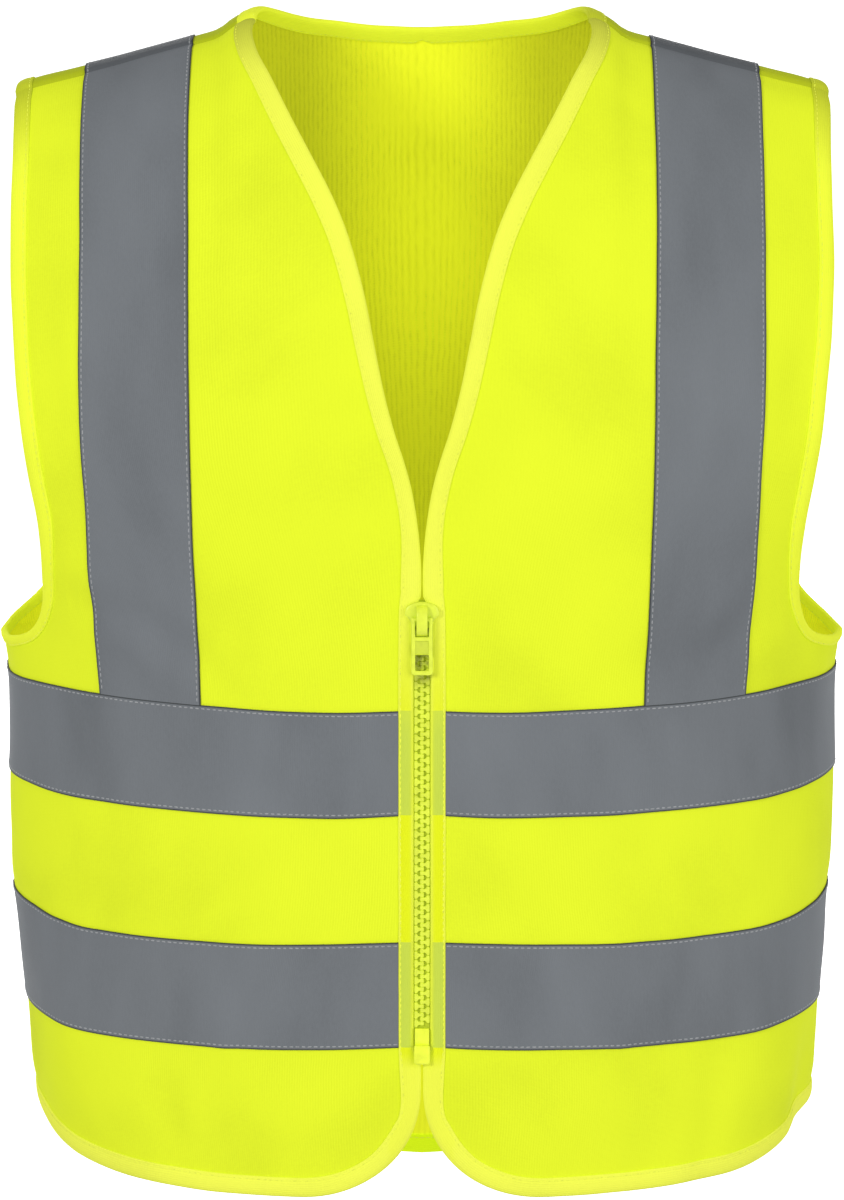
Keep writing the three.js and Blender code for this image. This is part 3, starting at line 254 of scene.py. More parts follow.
def place_at_height(x, z, back):
    reach = np.minimum(x, half_width(z))
    return place(out_of(reach, z, back), run_of_drop(ridge(reach) - z, back))


def place_at_run(x, run):
    run = np.asarray(run, float)
    return place(out_of(x, ridge(x) - drop_of_run(run), np.asarray(run > 0)), run)


def place_on_side(z, back):
    return place_at_height(half_width(z), z, back)


def fold_depth(turn, z):
    depth = 0
    for height, reach, middle, spread, deep, lean in FOLDS:
        up = (z - height) / reach
        along = (turn - middle - lean * (z - height)) / spread
        depth = depth + deep * np.exp(-up * up - along * along)
    return depth


def skin(places):
    """Points of the worn form at places, on the +X side."""
    out, run = places[..., 0], places[..., 1]
    back = run > 0
    bend = np.where(back, BACK_ROUND, FRONT_ROUND)
    close = np.sin(np.minimum(np.abs(run) / bend, QUARTER))
    angle = np.radians(np.minimum(out, 90))
    across, ahead = np.sin(angle), np.maximum(np.cos(angle), 0)
    drop = drop_of_run(run)
    x = np.full(np.shape(drop), 100.0)
    for _ in range(8):
        z = ridge(np.abs(x)) - drop
        square = 2 / np.where(back, back_power(z), front_power(z))
        x = half_width(z) * np.sign(across) * np.abs(across) ** square
    depth = np.where(back, back_depth(z), front_depth(z)) * ahead**square * close
    shrink = 1 - fold_depth(np.where(back, 180 - out, out), z) / (np.hypot(x, depth) + 1)
    return np.stack([x * shrink, np.where(back, depth, -depth) * shrink, z], -1)


def unit(v):
    return v / np.maximum(np.linalg.norm(v, axis=-1, keepdims=True), 1e-9)


def length_along(path):
    """The length grown so far at each point of a path."""
    return np.concatenate(([0], np.cumsum(np.linalg.norm(np.diff(path, axis=0), axis=1))))


def steps(places):
    """Steps along the form: per degree out and per millimetre of run."""
    out, run = places[..., 0], places[..., 1]
    near = np.minimum(out, 89.5)
    far = np.where(run >= 0, run + 0.5, run - 0.5)
    per_degree = skin(place(near + 0.5, run)) - skin(place(near - 0.5, run))
    per_run = (skin(place(out, far)) - skin(places)) / (far - run)[..., None]
    return per_degree, per_run


def outward(places):
    return unit(np.cross(*steps(places)))


def inset(edge, at, step, width, turned):
    """Places a given width inside an edge, square to it; turned is 1 or -1 for the cloth's side."""
    at = np.asarray(at, float)
    places = edge(at)
    along = unit(skin(edge(at + step)) - skin(edge(at - step)))
    inward = np.cross(outward(places), along) * turned * width
    per_degree, per_run = steps(places)
    dd, dr, rr = ((a * b).sum(-1) for a, b in (
        (per_degree, per_degree), (per_degree, per_run), (per_run, per_run)))
    wd, wr = (inward * per_degree).sum(-1), (inward * per_run).sum(-1)
    scale = dd * rr - dr * dr
    out = np.clip(places[..., 0] + (wd * rr - wr * dr) / scale, 0, 90)
    return place(out, places[..., 1] + (wr * dd - wd * dr) / scale)


def rim_of(edge, at, step, turned):
    return inset(edge, at, step, BINDING, turned)


def corner_rim(turn):
    turn = np.asarray(turn, float)
    width = lerp(CORNER_BINDING, BINDING, np.minimum(1, turn / CORNER_TURN))
    return inset(corner_place, turn, 0.4, width[..., None], 1)


def seam_height(edge):
    z = 0.0
    for _ in range(8):
        z = float(ridge(edge(z))) - SEAM_DROP
    return z


# ---------------------------------------------------------------- grids of places

def across_panel(inner, outer, inner_columns):
    """Rows of places from an inner to an outer one, through the shoulder tape's two edges."""
    start, end = skin(inner), skin(outer)

    def tape_edge(edge):
        x = edge(start[:, 2])
        for _ in range(4):
            share = (x - start[:, 0]) / (end[:, 0] - start[:, 0])
            run = lerp(inner[:, 1], outer[:, 1], share)
            x = edge(ridge(x) - drop_of_run(run))
        return place_at_run(x, run)

    knots = [inner, tape_edge(tape_inner), tape_edge(tape_outer), outer]
    blocks = []
    for k, columns in enumerate([inner_columns, TAPE_COLUMNS, SIDE_COLUMNS]):
        t = (np.arange(columns) / columns)[None, :, None]
        blocks.append(lerp(knots[k][:, None], knots[k + 1][:, None], t))
    return np.concatenate([*blocks, outer[:, None]], axis=1)


def level_row(height_at, inner_x, inner_columns, back):
    """A row of the lower body on a level line."""
    at = lambda out: height_at(180 - out if back else out)
    stops = []
    for x in (inner_x, float(tape_inner(-400)), float(tape_outer(-400))):
        z = at(0)
        for _ in range(4):
            z = at(out_of(x, z, back))
        stops.append(float(place_at_height(x, z, back)[0]))
    stops.append(90.0)
    outs = [
        lerp(stops[k], stops[k + 1], np.arange(n) / n)
        for k, n in enumerate([inner_columns, TAPE_COLUMNS, SIDE_COLUMNS])
    ]
    outs = np.concatenate([*outs, [90.0]])
    row = place(outs, np.full(len(outs), 300.0 if back else -300.0))
    for _ in range(4):
        reach = np.minimum(skin(row)[:, 0], half_width(at(outs)))
        row = place(outs, run_of_drop(ridge(reach) - at(outs), back))
    return row


def lower_rows(armpit_row, inner_x, inner_columns, back):
    """Rows from the armpit row down to the lower band's lower edge."""
    rows = []
    start, above = levels["armpit"], armpit_row
    for name, count in BELOW:
        end = levels[name]
        first, last = start, end
        for i in range(1, count + 1):
            t = i / count
            below = level_row(
                lambda turn, t=t: lerp(first(turn), last(turn), t), inner_x, inner_columns, back)
            share = (np.arange(1, DENSE + 1) / DENSE)[:, None, None]
            rows.append(lerp(above[None], below[None], share))
            above = below
        start = end
    return np.concatenate(rows)


def hem_place(out, back):
    out = np.asarray(out, float)
    z = hem(180 - out if back else out)
    power = back_power(z) if back else front_power(z)
    x = half_width(z) * np.sin(np.radians(out)) ** (2 / power)
    return place(out, run_of_drop(ridge(x) - z, back))


def corner_place(turn):
    angle = np.radians(np.asarray(turn, float))
    x = CORNER_X - CORNER_WIDTH * np.maximum(np.cos(angle), 0) ** (2 / CORNER_POWER)
    z = CORNER_Z - CORNER_HEIGHT * np.maximum(np.sin(angle), 0) ** (2 / CORNER_POWER)
    return place_at_height(x, z, False)


def front_grid():
    """Places of the +X front panel: the main grid, and edge and inner places round its rim."""
    neck_top, arm_top = seam_height(front_edge), seam_height(armhole_front)
    neck_line = lambda z: place_at_height(front_edge(z), z, False)
    arm_line = lambda z: place_at_height(armhole_front(z), z, False)
    t = np.linspace(0, 1, UPPER_ROWS + 1)
    neck_z = lerp(neck_top, float(levels["armpit"](0)), t**SPREAD_FRONT_NECK)
    arm_z = lerp(arm_top, ARMPIT, 1 - (1 - t) ** SPREAD_FRONT_ARM)
    width = front_binding(neck_z)[:, None]
    inner, edge = inset(neck_line, neck_z, 0.5, width, -1), neck_line(neck_z)
    wide = arm_binding(arm_z - ARMPIT)[:, None]
    arm_edge, outer = arm_line(arm_z), inset(arm_line, arm_z, 0.5, wide, 1)
    bend = UPPER_ROWS - DENSE          # below this row the armhole turns in to the side seam
    share = (np.arange(DENSE + 1) / DENSE)[:, None]
    for line, end in ((arm_edge, ARMPIT), (outer, ARMPIT - ARM_BINDING[0][1])):
        last = place_on_side(end, False)
        straight = lerp(line[bend][None], last[None], share)
        line[bend:] = straight
        line[bend:, 1] -= np.sin(share[:, 0] * math.pi) * 0.9
    inner[0, 1] = outer[0, 1] = SEAM_RUN
    edge[0, 1] = arm_edge[0, 1] = SEAM_RUN
    upper = across_panel(inner, outer, FRONT_COLUMNS)
    zip_edge = float(front_edge(-400))
    lower = lower_rows(upper[-1], zip_edge + ZIP_BINDING, FRONT_COLUMNS, False)
    lower_edge = place_at_height(zip_edge, skin(lower[:, 0])[:, 2], False)
    top = lower[-1]
    corner_end = float(out_of(CORNER_X, CORNER_Z - CORNER_HEIGHT, False))
    c = np.arange(len(top))
    share = c / FRONT_COLUMNS
    turns = np.clip(lerp(CORNER_TURN, 90, share * 2), CORNER_TURN, 90)
    beyond = lerp(corner_end, top[FRONT_COLUMNS, 0], np.clip(share * 2 - 1, 0, 1))
    hem_outs = np.where(c <= FRONT_COLUMNS, beyond, top[:, 0])
    on_corner = (c <= FRONT_COLUMNS // 2)[:, None]
    hem_edge = np.where(on_corner, corner_place(turns), hem_place(hem_outs, False))
    hem_inner = np.where(on_corner, corner_rim(turns),
                         rim_of(lambda at: hem_place(at, False), hem_outs, 0.5, 1))
    hem_inner[-1] = place_on_side(float(hem(90)) + BINDING, False)
    # rows down to the hem, their first column on the round corner
    t = np.arange(1, HEM_ROWS + 1) / HEM_ROWS
    straight = lerp(top[None], hem_inner[None], t[:, None, None])
    corner_turns = np.clip((t - 1 / 3) * 1.5, 0, 1) * (CORNER_TURN - 0.5) + 0.5
    first = corner_rim(0.5)
    up = (t <= 1 / 3 + 1e-6)[:, None]
    ahead = (t * 3)[:, None]
    inners = np.where(up, lerp(top[0], first, ahead), corner_rim(corner_turns))
    down = skin(inners)[:, 2]
    closing = np.interp(-down, [-CORNER_Z - 20, -CORNER_Z - 12, -CORNER_Z],
                        [zip_edge, MEET, CORNER_X - CORNER_WIDTH])
    edges = np.where(up, place_at_height(closing, down, False),
                     corner_place(corner_turns))
    fade = np.clip(1 - c / FRONT_COLUMNS, 0, 1)[None, :, None]
    hem_rows = straight + (inners - straight[:, 0])[:, None] * fade
    main = np.concatenate([upper, lower, hem_rows])
    return {
        "main": main,
        "front": (np.concatenate([edge, lower_edge, edges]), main[:, 0]),
        "hem": (hem_edge, hem_inner),
        "arm": (arm_edge, outer),
    }


def back_grid():
    """Places of the +X half of the back panel, as for the front."""
    neck_line = lambda way: place_at_run(np.abs(neck_x(way)), neck_run(way))
    arm_line = lambda run: place_at_run(armhole_back(run), run)
    arm_end = place_on_side(ARMPIT, True)
    ways = np.arange(NECK_COLUMNS + 1) / NECK_COLUMNS
    neck_edge = neck_line(ways)
    neck_inner = rim_of(neck_line, np.clip(ways, 0.004, 0.995), 0.003, 1)
    neck_inner[0] = (0, float(neck_run(0)) + BINDING)
    neck_inner[-1, 1] = neck_edge[-1, 1] = SEAM_RUN
    t = np.linspace(0, 1, UPPER_ROWS + 1)
    arm_run = lerp(SEAM_RUN, float(arm_end[1]), 1 - (1 - t) ** SPREAD_BACK_ARM)
    wide = arm_binding(arm_end[1] - arm_run)[:, None]
    arm_edge, outer = arm_line(arm_run), inset(arm_line, arm_run, 1, wide, 1)
    arm_edge[-1], outer[-1] = arm_end, place_on_side(ARMPIT - ARM_BINDING[0][1], True)
    outer[0, 1] = SEAM_RUN
    from_x = skin(neck_inner)[:, 0]
    to_x = float(tape_inner(ARMPIT)) * np.arange(NECK_COLUMNS + 1) / (NECK_COLUMNS + DENSE)
    to_run = run_of_drop(ridge(to_x) - levels["armpit"](180 - 45 * ways), True)
    ease = np.clip(t / SPREAD_BACK_ACROSS, 0, 1)
    ease = (ease * ease * (3 - 2 * ease))[:, None]
    down = (t**SPREAD_BACK_MIDDLE)[:, None]
    middle = place_at_run(lerp(from_x[None], to_x[None], ease),
                          lerp(neck_inner[None, :, 1], to_run[None], down))
    middle[0] = neck_inner
    upper = np.concatenate([middle[:, :-1], across_panel(middle[:, -1], outer, DENSE)], axis=1)
    lower = lower_rows(upper[-1], 0.0, NECK_COLUMNS + DENSE, True)
    top = lower[-1]
    hem_edge = hem_place(top[:, 0], True)
    hem_inner = rim_of(lambda at: hem_place(at, True), np.clip(top[:, 0], 0.6, 89.4), 0.5, -1)
    hem_inner[:, 0] = top[:, 0]
    hem_inner[0] = (0, hem_edge[0, 1] - BINDING)
    hem_inner[-1] = place_on_side(float(hem(90)) + BINDING, True)
    t = (np.arange(1, HEM_ROWS + 1) / HEM_ROWS)[:, None, None]
    main = np.concatenate([upper, lower, lerp(top[None], hem_inner[None], t)])
    return {
        "main": main,
        "neck": (neck_edge, neck_inner),
        "hem": (hem_edge, hem_inner),
        "arm": (arm_edge, outer),
    }


# ---------------------------------------------------------------- points, creases and cloth UVs

def arc_curve(back):
    """Length along the level section from the centre line, by degrees out."""
    outs = np.linspace(0, 90, 91)
    x = half_width(-300) * np.sin(np.radians(outs)) ** (2 / 2.1)
    at = skin(place_at_height(x, -300.0, back))
    grown = length_along(at)
    reached = out_of(at[:, 0], np.full(91, -300.0), back)
    return lambda out: np.interp(out, reached, grown)


ARC_FRONT, ARC_BACK = arc_curve(False), arc_curve(True)


def crease_lines():
    lines = []
    for side, x0, z0, x1, z1, bow, width, depth in CREASES:
        t = np.linspace(0, 1, 13)
        x = lerp(x0, x1, t)
        z = lerp(z0, z1, t) + bow * np.sin(t * math.pi)
        at = skin(place_at_height(np.abs(x), z, side > 0))
        at[:, 0] *= np.sign(x)
        lines.append((at, width, depth))
    return lines


def waves():
    """A few long soft waves, the same on every layer, so that layers keep their gaps."""
    rng = np.random.default_rng(5)
    made = []
    for length, height in ((150, 0.5), (105, 0.4), (78, 0.3), (56, 0.2), (42, 0.14), (33, 0.1)):
        for _ in range(2):
            way = unit(rng.normal(size=3) * np.array([1.0, 0.7, 0.45]))
            made.append((way * 2 * math.pi / length, rng.uniform(0, 6.3), height))
    return made


LINES, WAVES = crease_lines(), waves()


def relief(at, depth=1.0):
    """How far the cloth stands out of, or below 0 sinks into, the smooth form at points."""
    flat = at.reshape(-1, 3)
    raised = np.zeros(len(flat))
    for line, width, deep in LINES:
        gap = np.linalg.norm(flat[:, None] - line[None], axis=2)
        near = gap.argmin(1)
        distance = gap[np.arange(len(flat)), near] / width
        end = 1 - (2 * near / (len(line) - 1) - 1) ** 2 * 0.7
        valley, shoulder = np.exp(-distance**2), np.exp(-((distance - 1.7) / 0.9) ** 2)
        raised -= deep * end * (valley - 0.35 * shoulder)
    for way, phase, height in WAVES:
        raised += height * np.sin(flat @ way + phase)
    calm = np.clip((-flat[:, 2] - 5) / 60, 0.25, 1)
    return (raised * calm * depth).reshape(at.shape[:-1])


def points(places, mirror):
    """Points of the cloth's outer face, their outward way, and the cloth's own coordinates."""
    at, out = skin(places), outward(places)
    centre = places[..., 0] < 0.01
    out[centre, 0] = 0
    out = unit(out)
    back = places[..., 1] > 0
    across = np.where(back, ARC_BACK(places[..., 0]), ARC_FRONT(places[..., 0]))
    if mirror:
        at, out, across = at * [-1, 1, 1], out * [-1, 1, 1], -across
    side = np.exp(-(((90 - places[..., 0]) * 3.5) / 1.6) ** 2) * (places[..., 1] ** 2 > 300**2)
    shoulder = np.exp(-(((places[..., 1] - SEAM_RUN) / 1.4) ** 2))
    at = at + out * (relief(at) - 0.35 * side - 1.1 * shoulder)[..., None]
    return at, out, np.stack([across, places[..., 1]], -1) * MM


class Grid:
    """A grid of cloth points with their outward ways and cloth coordinates."""

    def __init__(self, at, out, uv):
        self.at, self.out, self.uv = at, out, uv

    @classmethod
    def of(cls, places, mirror):
        return cls(*points(places, mirror))

    def part(self, rows, columns):
        cut = (slice(rows[0], rows[1] + 1), slice(columns[0], columns[1] + 1))
        return Grid(self.at[cut], self.out[cut], self.uv[cut])


def strip(edge, inner, columns):
    """A grid between an edge line and an inner line, each a one-column grid."""
    t = np.linspace(0, 1, columns + 1)[None, :, None]
    mixed = [lerp(a[:, None], b[:, None], t) for a, b in (
        (edge.at, inner.at), (edge.out, inner.out), (edge.uv, inner.uv))]
    return Grid(mixed[0], unit(mixed[1]), mixed[2])


# ---------------------------------------------------------------- meshes

def settings():
    return bpy.context.scene.vest


def make_object(name, vertices, faces, materials, uv=None, indices=None, layers=None):
    """A mesh object from points in metres; uv and layers are given per vertex."""
    mesh = bpy.data.meshes.new(name)
    mesh.from_pydata(vertices.tolist(), [], faces)
    loops = np.empty(len(mesh.loops), np.int32)
    mesh.loops.foreach_get("vertex_index", loops)
    if uv is not None:
        layer = mesh.uv_layers.new(name="cloth")
        layer.data.foreach_set("uv", uv[loops].astype(np.float32).ravel())
    for key, values in (layers or {}).items():
        attribute = mesh.attributes.new(key, "FLOAT", "POINT")
        attribute.data.foreach_set("value", values.astype(np.float32))
    for material in materials:
        mesh.materials.append(material)
    if indices is not None:
        mesh.polygons.foreach_set("material_index", np.asarray(indices, np.int32))
    mesh.update()
    made = bpy.data.objects.new(name, mesh)
    bpy.context.scene.collection.objects.link(made)
    return made


def smooth(made, degrees):
    """Smooth shading up to an angle between faces."""
    select_only(made)
    bpy.ops.object.shade_smooth_by_angle(angle=math.radians(degrees))


def select_only(made):
    if bpy.context.mode != "OBJECT":
        bpy.ops.object.mode_set(mode="OBJECT")
    bpy.ops.object.select_all(action="DESELECT")
    made.select_set(True)
    bpy.context.view_layer.objects.active = made


def shell(name, grids, inner, outer, materials, sewn_edges=None):
    """A closed thin shell over joined grids, between two distances out from the cloth's face."""
    at = np.concatenate([g.at.reshape(-1, 3) for g in grids])
    out = np.concatenate([g.out.reshape(-1, 3) for g in grids])
    uv = np.concatenate([g.uv.reshape(-1, 2) for g in grids])
    quads, base = [], 0
    for g in grids:
        rows, columns = g.at.shape[:2]
        index = np.arange(rows * columns).reshape(rows, columns) + base
        quads.append(np.stack(
            [index[:-1, :-1], index[1:, :-1], index[1:, 1:], index[:-1, 1:]], -1).reshape(-1, 4))
        base += rows * columns
    quads = np.concatenate(quads)
    _, first, same = np.unique(np.round(at, 3), axis=0, return_index=True, return_inverse=True)
    same = same.ravel()
    at, out, uv, quads = at[first], out[first], uv[first], same[quads]
    a, b, d = at[quads[:, 0]], at[quads[:, 1]], at[quads[:, 3]]
    facing = (np.cross(b - a, d - a) * out[quads[:, 0]]).sum()
    if facing < 0:
        quads = quads[:, ::-1]
    count = len(at)
    edges = np.concatenate([quads[:, [k, (k + 1) % 4]] for k in range(4)])
    edges = edges[edges[:, 0] != edges[:, 1]]
    keys = edges[:, 0] * count + edges[:, 1]
    open_edges = edges[~np.isin(edges[:, 1] * count + edges[:, 0], keys)]
    walls = np.stack([open_edges[:, 1], open_edges[:, 0],
                      open_edges[:, 0] + count, open_edges[:, 1] + count], -1)
    vertices = np.concatenate([at + out * outer, at + out * inner]) * MM
    faces, kinds = [], []
    for kind, block in ((0, quads), (1, quads[:, ::-1] + count), (0, walls)):
        for face in block.tolist():
            ring = [v for k, v in enumerate(face) if v != face[k - 1]]
            if len(ring) >= 3:
                faces.append(ring)
                kinds.append(kind if len(materials) > 1 else 0)
    layers = None
    # each point's distance to the sewn edges, from which the tape's finish paints shade along them
    if sewn_edges is not None:
        gap = np.full(count, 1e9)
        for block in np.array_split(np.arange(count), max(1, count * len(sewn_edges) // 4_000_000)):
            gap[block] = np.linalg.norm(at[block][:, None] - sewn_edges[None], axis=2).min(1)
        layers = {"edge": np.tile(gap, 2)}
    made = make_object(name, vertices, faces, materials, np.tile(uv, (2, 1)), kinds, layers)
    smooth(made, 50)
    return made


# the folded binding's section: share of its width in from the edge, and height over the cloth
SECTION = [
    (1.0, 0.1), (0.995, 0.5), (0.97, 0.78), (0.92, 0.88), (0.86, 0.82), (0.80, 0.96), (0.70, 1.24),
    (0.55, 1.48), (0.38, 1.52), (0.24, 1.36), (0.13, 1.05), (0.05, 0.58), (0.01, 0.1), (0.0, -0.5),
    (0.01, -1.1), (0.06, -1.6), (0.16, -2.0),
    (0.32, -2.2), (0.75, -2.2), (0.94, -2.05), (1.0, -1.85), (1.0, -1.2), (0.2, -1.15),
    (0.15, -0.5), (0.2, 0.15),
]
STITCH_SHARE = 0.86
STRIP_HEIGHTS = [-512, -503, -345, -285]


def binding(name, edge, inner, material):
    """A folded edge binding: its section swept along an edge line and the line a width inside."""
    section = np.array(SECTION)
    way = inner.at - edge.at
    at = edge.at[:, None] + way[:, None] * section[None, :, :1]
    out = unit(lerp(edge.out[:, None], inner.out[:, None], section[None, :, :1]))
    at = at + out * section[None, :, 1:]
    rows, columns = at.shape[:2]
    along, round_it = length_along(edge.at), length_along(section * [BINDING, 1])
    uv = np.stack(np.broadcast_arrays(round_it[None], along[:, None]), -1).reshape(-1, 2) * MM
    index = np.arange(rows * columns).reshape(rows, columns)
    ring = np.roll(index, -1, axis=1)
    quads = np.stack([index[:-1], ring[:-1], ring[1:], index[1:]], -1).reshape(-1, 4)
    faces = quads.tolist() + [index[0].tolist()[::-1], index[-1].tolist()]
    share = np.interp(section[:, 0], [0.08, 0.26, 0.84, 0.94], [0, 1, 1, 0]) * (section[:, 1] > 0)
    strip = share * np.interp(at[..., 2], STRIP_HEIGHTS, [0.2, 1, 1, 0]) * (np.abs(at[..., 0]) < 16)
    made = make_object(name, at.reshape(-1, 3) * MM, faces, [material], uv,
                       layers={"strip": strip.ravel()})
    face_out(made)
    smooth(made, 40)
    return made


def face_out(made):
    """Turns every face of a closed mesh outwards."""
    mesh = bmesh.new()
    mesh.from_mesh(made.data)
    bmesh.ops.recalc_face_normals(mesh, faces=mesh.faces)
    if mesh.calc_volume(signed=True) < 0:
        bmesh.ops.reverse_faces(mesh, faces=mesh.faces)
    mesh.to_mesh(made.data)
    mesh.free()


def stitch_line(at, out, pitch, length):
    """Where stitches lie along a path: their middles, ways along and ways out."""
    along = length_along(at)
    middles = np.arange(pitch * 0.5, along[-1] - length / 2, pitch)

    def pick(values, where):
        return np.stack([np.interp(where, along, values[:, k]) for k in range(3)], -1)

    middle = pick(at, middles)
    way = unit(pick(at, middles + length / 3) - pick(at, middles - length / 3))
    return middle, way, unit(pick(out, middles))


def stitches(name, lines, length, width, height, material, seed):
    """Every stitch of some lines as one mesh: short low grains of thread, none quite alike."""
    rng = np.random.default_rng(seed)
    middle, way, out = (np.concatenate([line[k] for line in lines]) for k in range(3))
    count = len(middle)
    side = unit(np.cross(out, way))
    way = unit(way + side * rng.normal(0, 0.05, (count, 1)))
    side = unit(np.cross(out, way))
    size = 1 + rng.normal(0, 0.06, (count, 1))
    # along, across and up, as shares of the stitch's size
    form = np.array([
        (-0.5, 0, -0.2), (-0.3, -0.5, 0.1), (-0.3, 0, 0.85), (-0.3, 0.5, 0.1),
        (0.3, -0.5, 0.1), (0.3, 0, 0.85), (0.3, 0.5, 0.1), (0.5, 0, -0.2), (0, 0, -0.6),
    ])
    rings = [(0, 2, 1), (0, 3, 2), (1, 2, 5, 4), (2, 3, 6, 5), (4, 5, 7), (5, 6, 7),
             (0, 1, 8), (0, 8, 3), (1, 4, 8), (3, 8, 6), (4, 7, 8), (6, 8, 7)]
    at = (middle[:, None] + way[:, None] * form[None, :, :1] * length * size[:, None]
          + side[:, None] * form[None, :, 1:2] * width + out[:, None] * form[None, :, 2:] * height)
    faces = [[v + 9 * k for v in ring] for k in range(count) for ring in rings]
    made = make_object(name, at.reshape(-1, 3) * MM, faces, [material])
    smooth(made, 80)
    return made


# ---------------------------------------------------------------- finishes

def node(tree, kind, at, **values):
    """A node with its settings and its inputs' values."""
    made = tree.nodes.new(kind)
    made.location = at
    for key, value in values.items():
        if hasattr(made, key):
            setattr(made, key, value)
        else:
            made.inputs[key.replace("_", " ")].default_value = value
    return made


def maths(tree, operation, at, first, second=None):
    """A Math node fed by sockets or plain numbers."""
    made = tree.nodes.new("ShaderNodeMath")
    made.operation, made.location = operation, at
    for socket, value in zip(made.inputs, (first, second)):
        if isinstance(value, bpy.types.NodeSocket):
            tree.links.new(value, socket)
        elif value is not None:
            socket.default_value = value
    return made.outputs[0]


def new_group(name, inputs, outputs):
    tree = bpy.data.node_groups.new(name, "ShaderNodeTree")
    for key, kind, value in inputs:
        socket = tree.interface.new_socket(name=key, in_out="INPUT", socket_type=kind)
        if value is not None:
            socket.default_value = value
    for key, kind in outputs:
        tree.interface.new_socket(name=key, in_out="OUTPUT", socket_type=kind)
    start, end = tree.nodes.new("NodeGroupInput"), tree.nodes.new("NodeGroupOutput")
    start.location, end.location = (-900, 0), (700, 0)
    return tree, start, end


def map_range(tree, at, value, lowest, highest, start=0.0, end=1.0, soft=True):
    """A value carried from one range to another, with soft ends or straight."""
    made = node(tree, "ShaderNodeMapRange", at,
                interpolation_type="SMOOTHSTEP" if soft else "LINEAR")
    for key, number in zip(("From Min", "From Max", "To Min", "To Max"),
                           (lowest, highest, start, end)):
        made.inputs[key].default_value = number
    tree.links.new(value, made.inputs["Value"])
    return made.outputs["Result"]


def mix_colours(tree, at, amount, under, over, blend="MIX"):
    """Two colours, each a socket or plain, mixed by an amount."""
    made = node(tree, "ShaderNodeMix", at, data_type="RGBA", blend_type=blend)
    tree.links.new(amount, made.inputs["Factor"])
    for socket, colour in zip(made.inputs[6:8], (under, over)):
        if isinstance(colour, bpy.types.NodeSocket):
            tree.links.new(colour, socket)
        else:
            socket.default_value = (*colour, 1.0)
    return made.outputs[2]


def painted_seam_shade(tree, colours, vector, at):
    """Painted shade: darkens a colour on the narrow slope just behind the shoulder seam."""
    split = node(tree, "ShaderNodeSeparateXYZ", at)
    tree.links.new(vector, split.inputs[0])
    run = split.outputs["Y"]
    behind = maths(tree, "GREATER_THAN", (at[0] + 160, at[1]), run, SEAM_RUN * MM)
    fade = map_range(tree, (at[0] + 160, at[1] - 200), run, 0.0, 0.05, 0.6, 0.0, soft=False)
    amount = maths(tree, "MULTIPLY", (at[0] + 340, at[1]), behind, fade)
    return mix_colours(tree, (at[0] + 520, at[1]), amount, colours, (0.35, 0.35, 0.35), "MULTIPLY")


def painted_hollow_shade(tree, colours, vector, at):
    """Painted shade on the inside of the back, down it and to both sides of the neck's opening."""
    split = node(tree, "ShaderNodeSeparateXYZ", at)
    tree.links.new(vector, split.inputs[0])
    side = maths(tree, "ABSOLUTE", (at[0] + 160, at[1]), split.outputs["X"])
    run = split.outputs["Y"]
    upper = map_range(tree, (at[0] + 320, at[1]), run, 0.23, 0.38, 0.0, 0.34)
    lower = map_range(tree, (at[0] + 320, at[1] - 100), run, 0.5, 0.6, 0.0, 0.25)
    above_hem = map_range(tree, (at[0] + 320, at[1] - 180), run, 0.645, 0.684, 1.0, 0.0)
    down = maths(tree, "MULTIPLY", (at[0] + 640, at[1] - 200),
                 maths(tree, "ADD", (at[0] + 480, at[1] - 200), upper, lower), above_hem)
    edge = map_range(tree, (at[0] + 320, at[1] - 260), side, 0.0, 0.045, 0.0, 0.4)
    for amount, last in ((down, 0.0), (edge, 0.25)):
        centre = map_range(tree, (at[0] + 480, at[1]), side, 0.08, 0.14, 1.0, last)
        deep = maths(tree, "MULTIPLY", (at[0] + 640, at[1]), amount, centre)
        colours = mix_colours(tree, (at[0] + 800, at[1]), deep, colours, (0, 0, 0), "MULTIPLY")
    return colours


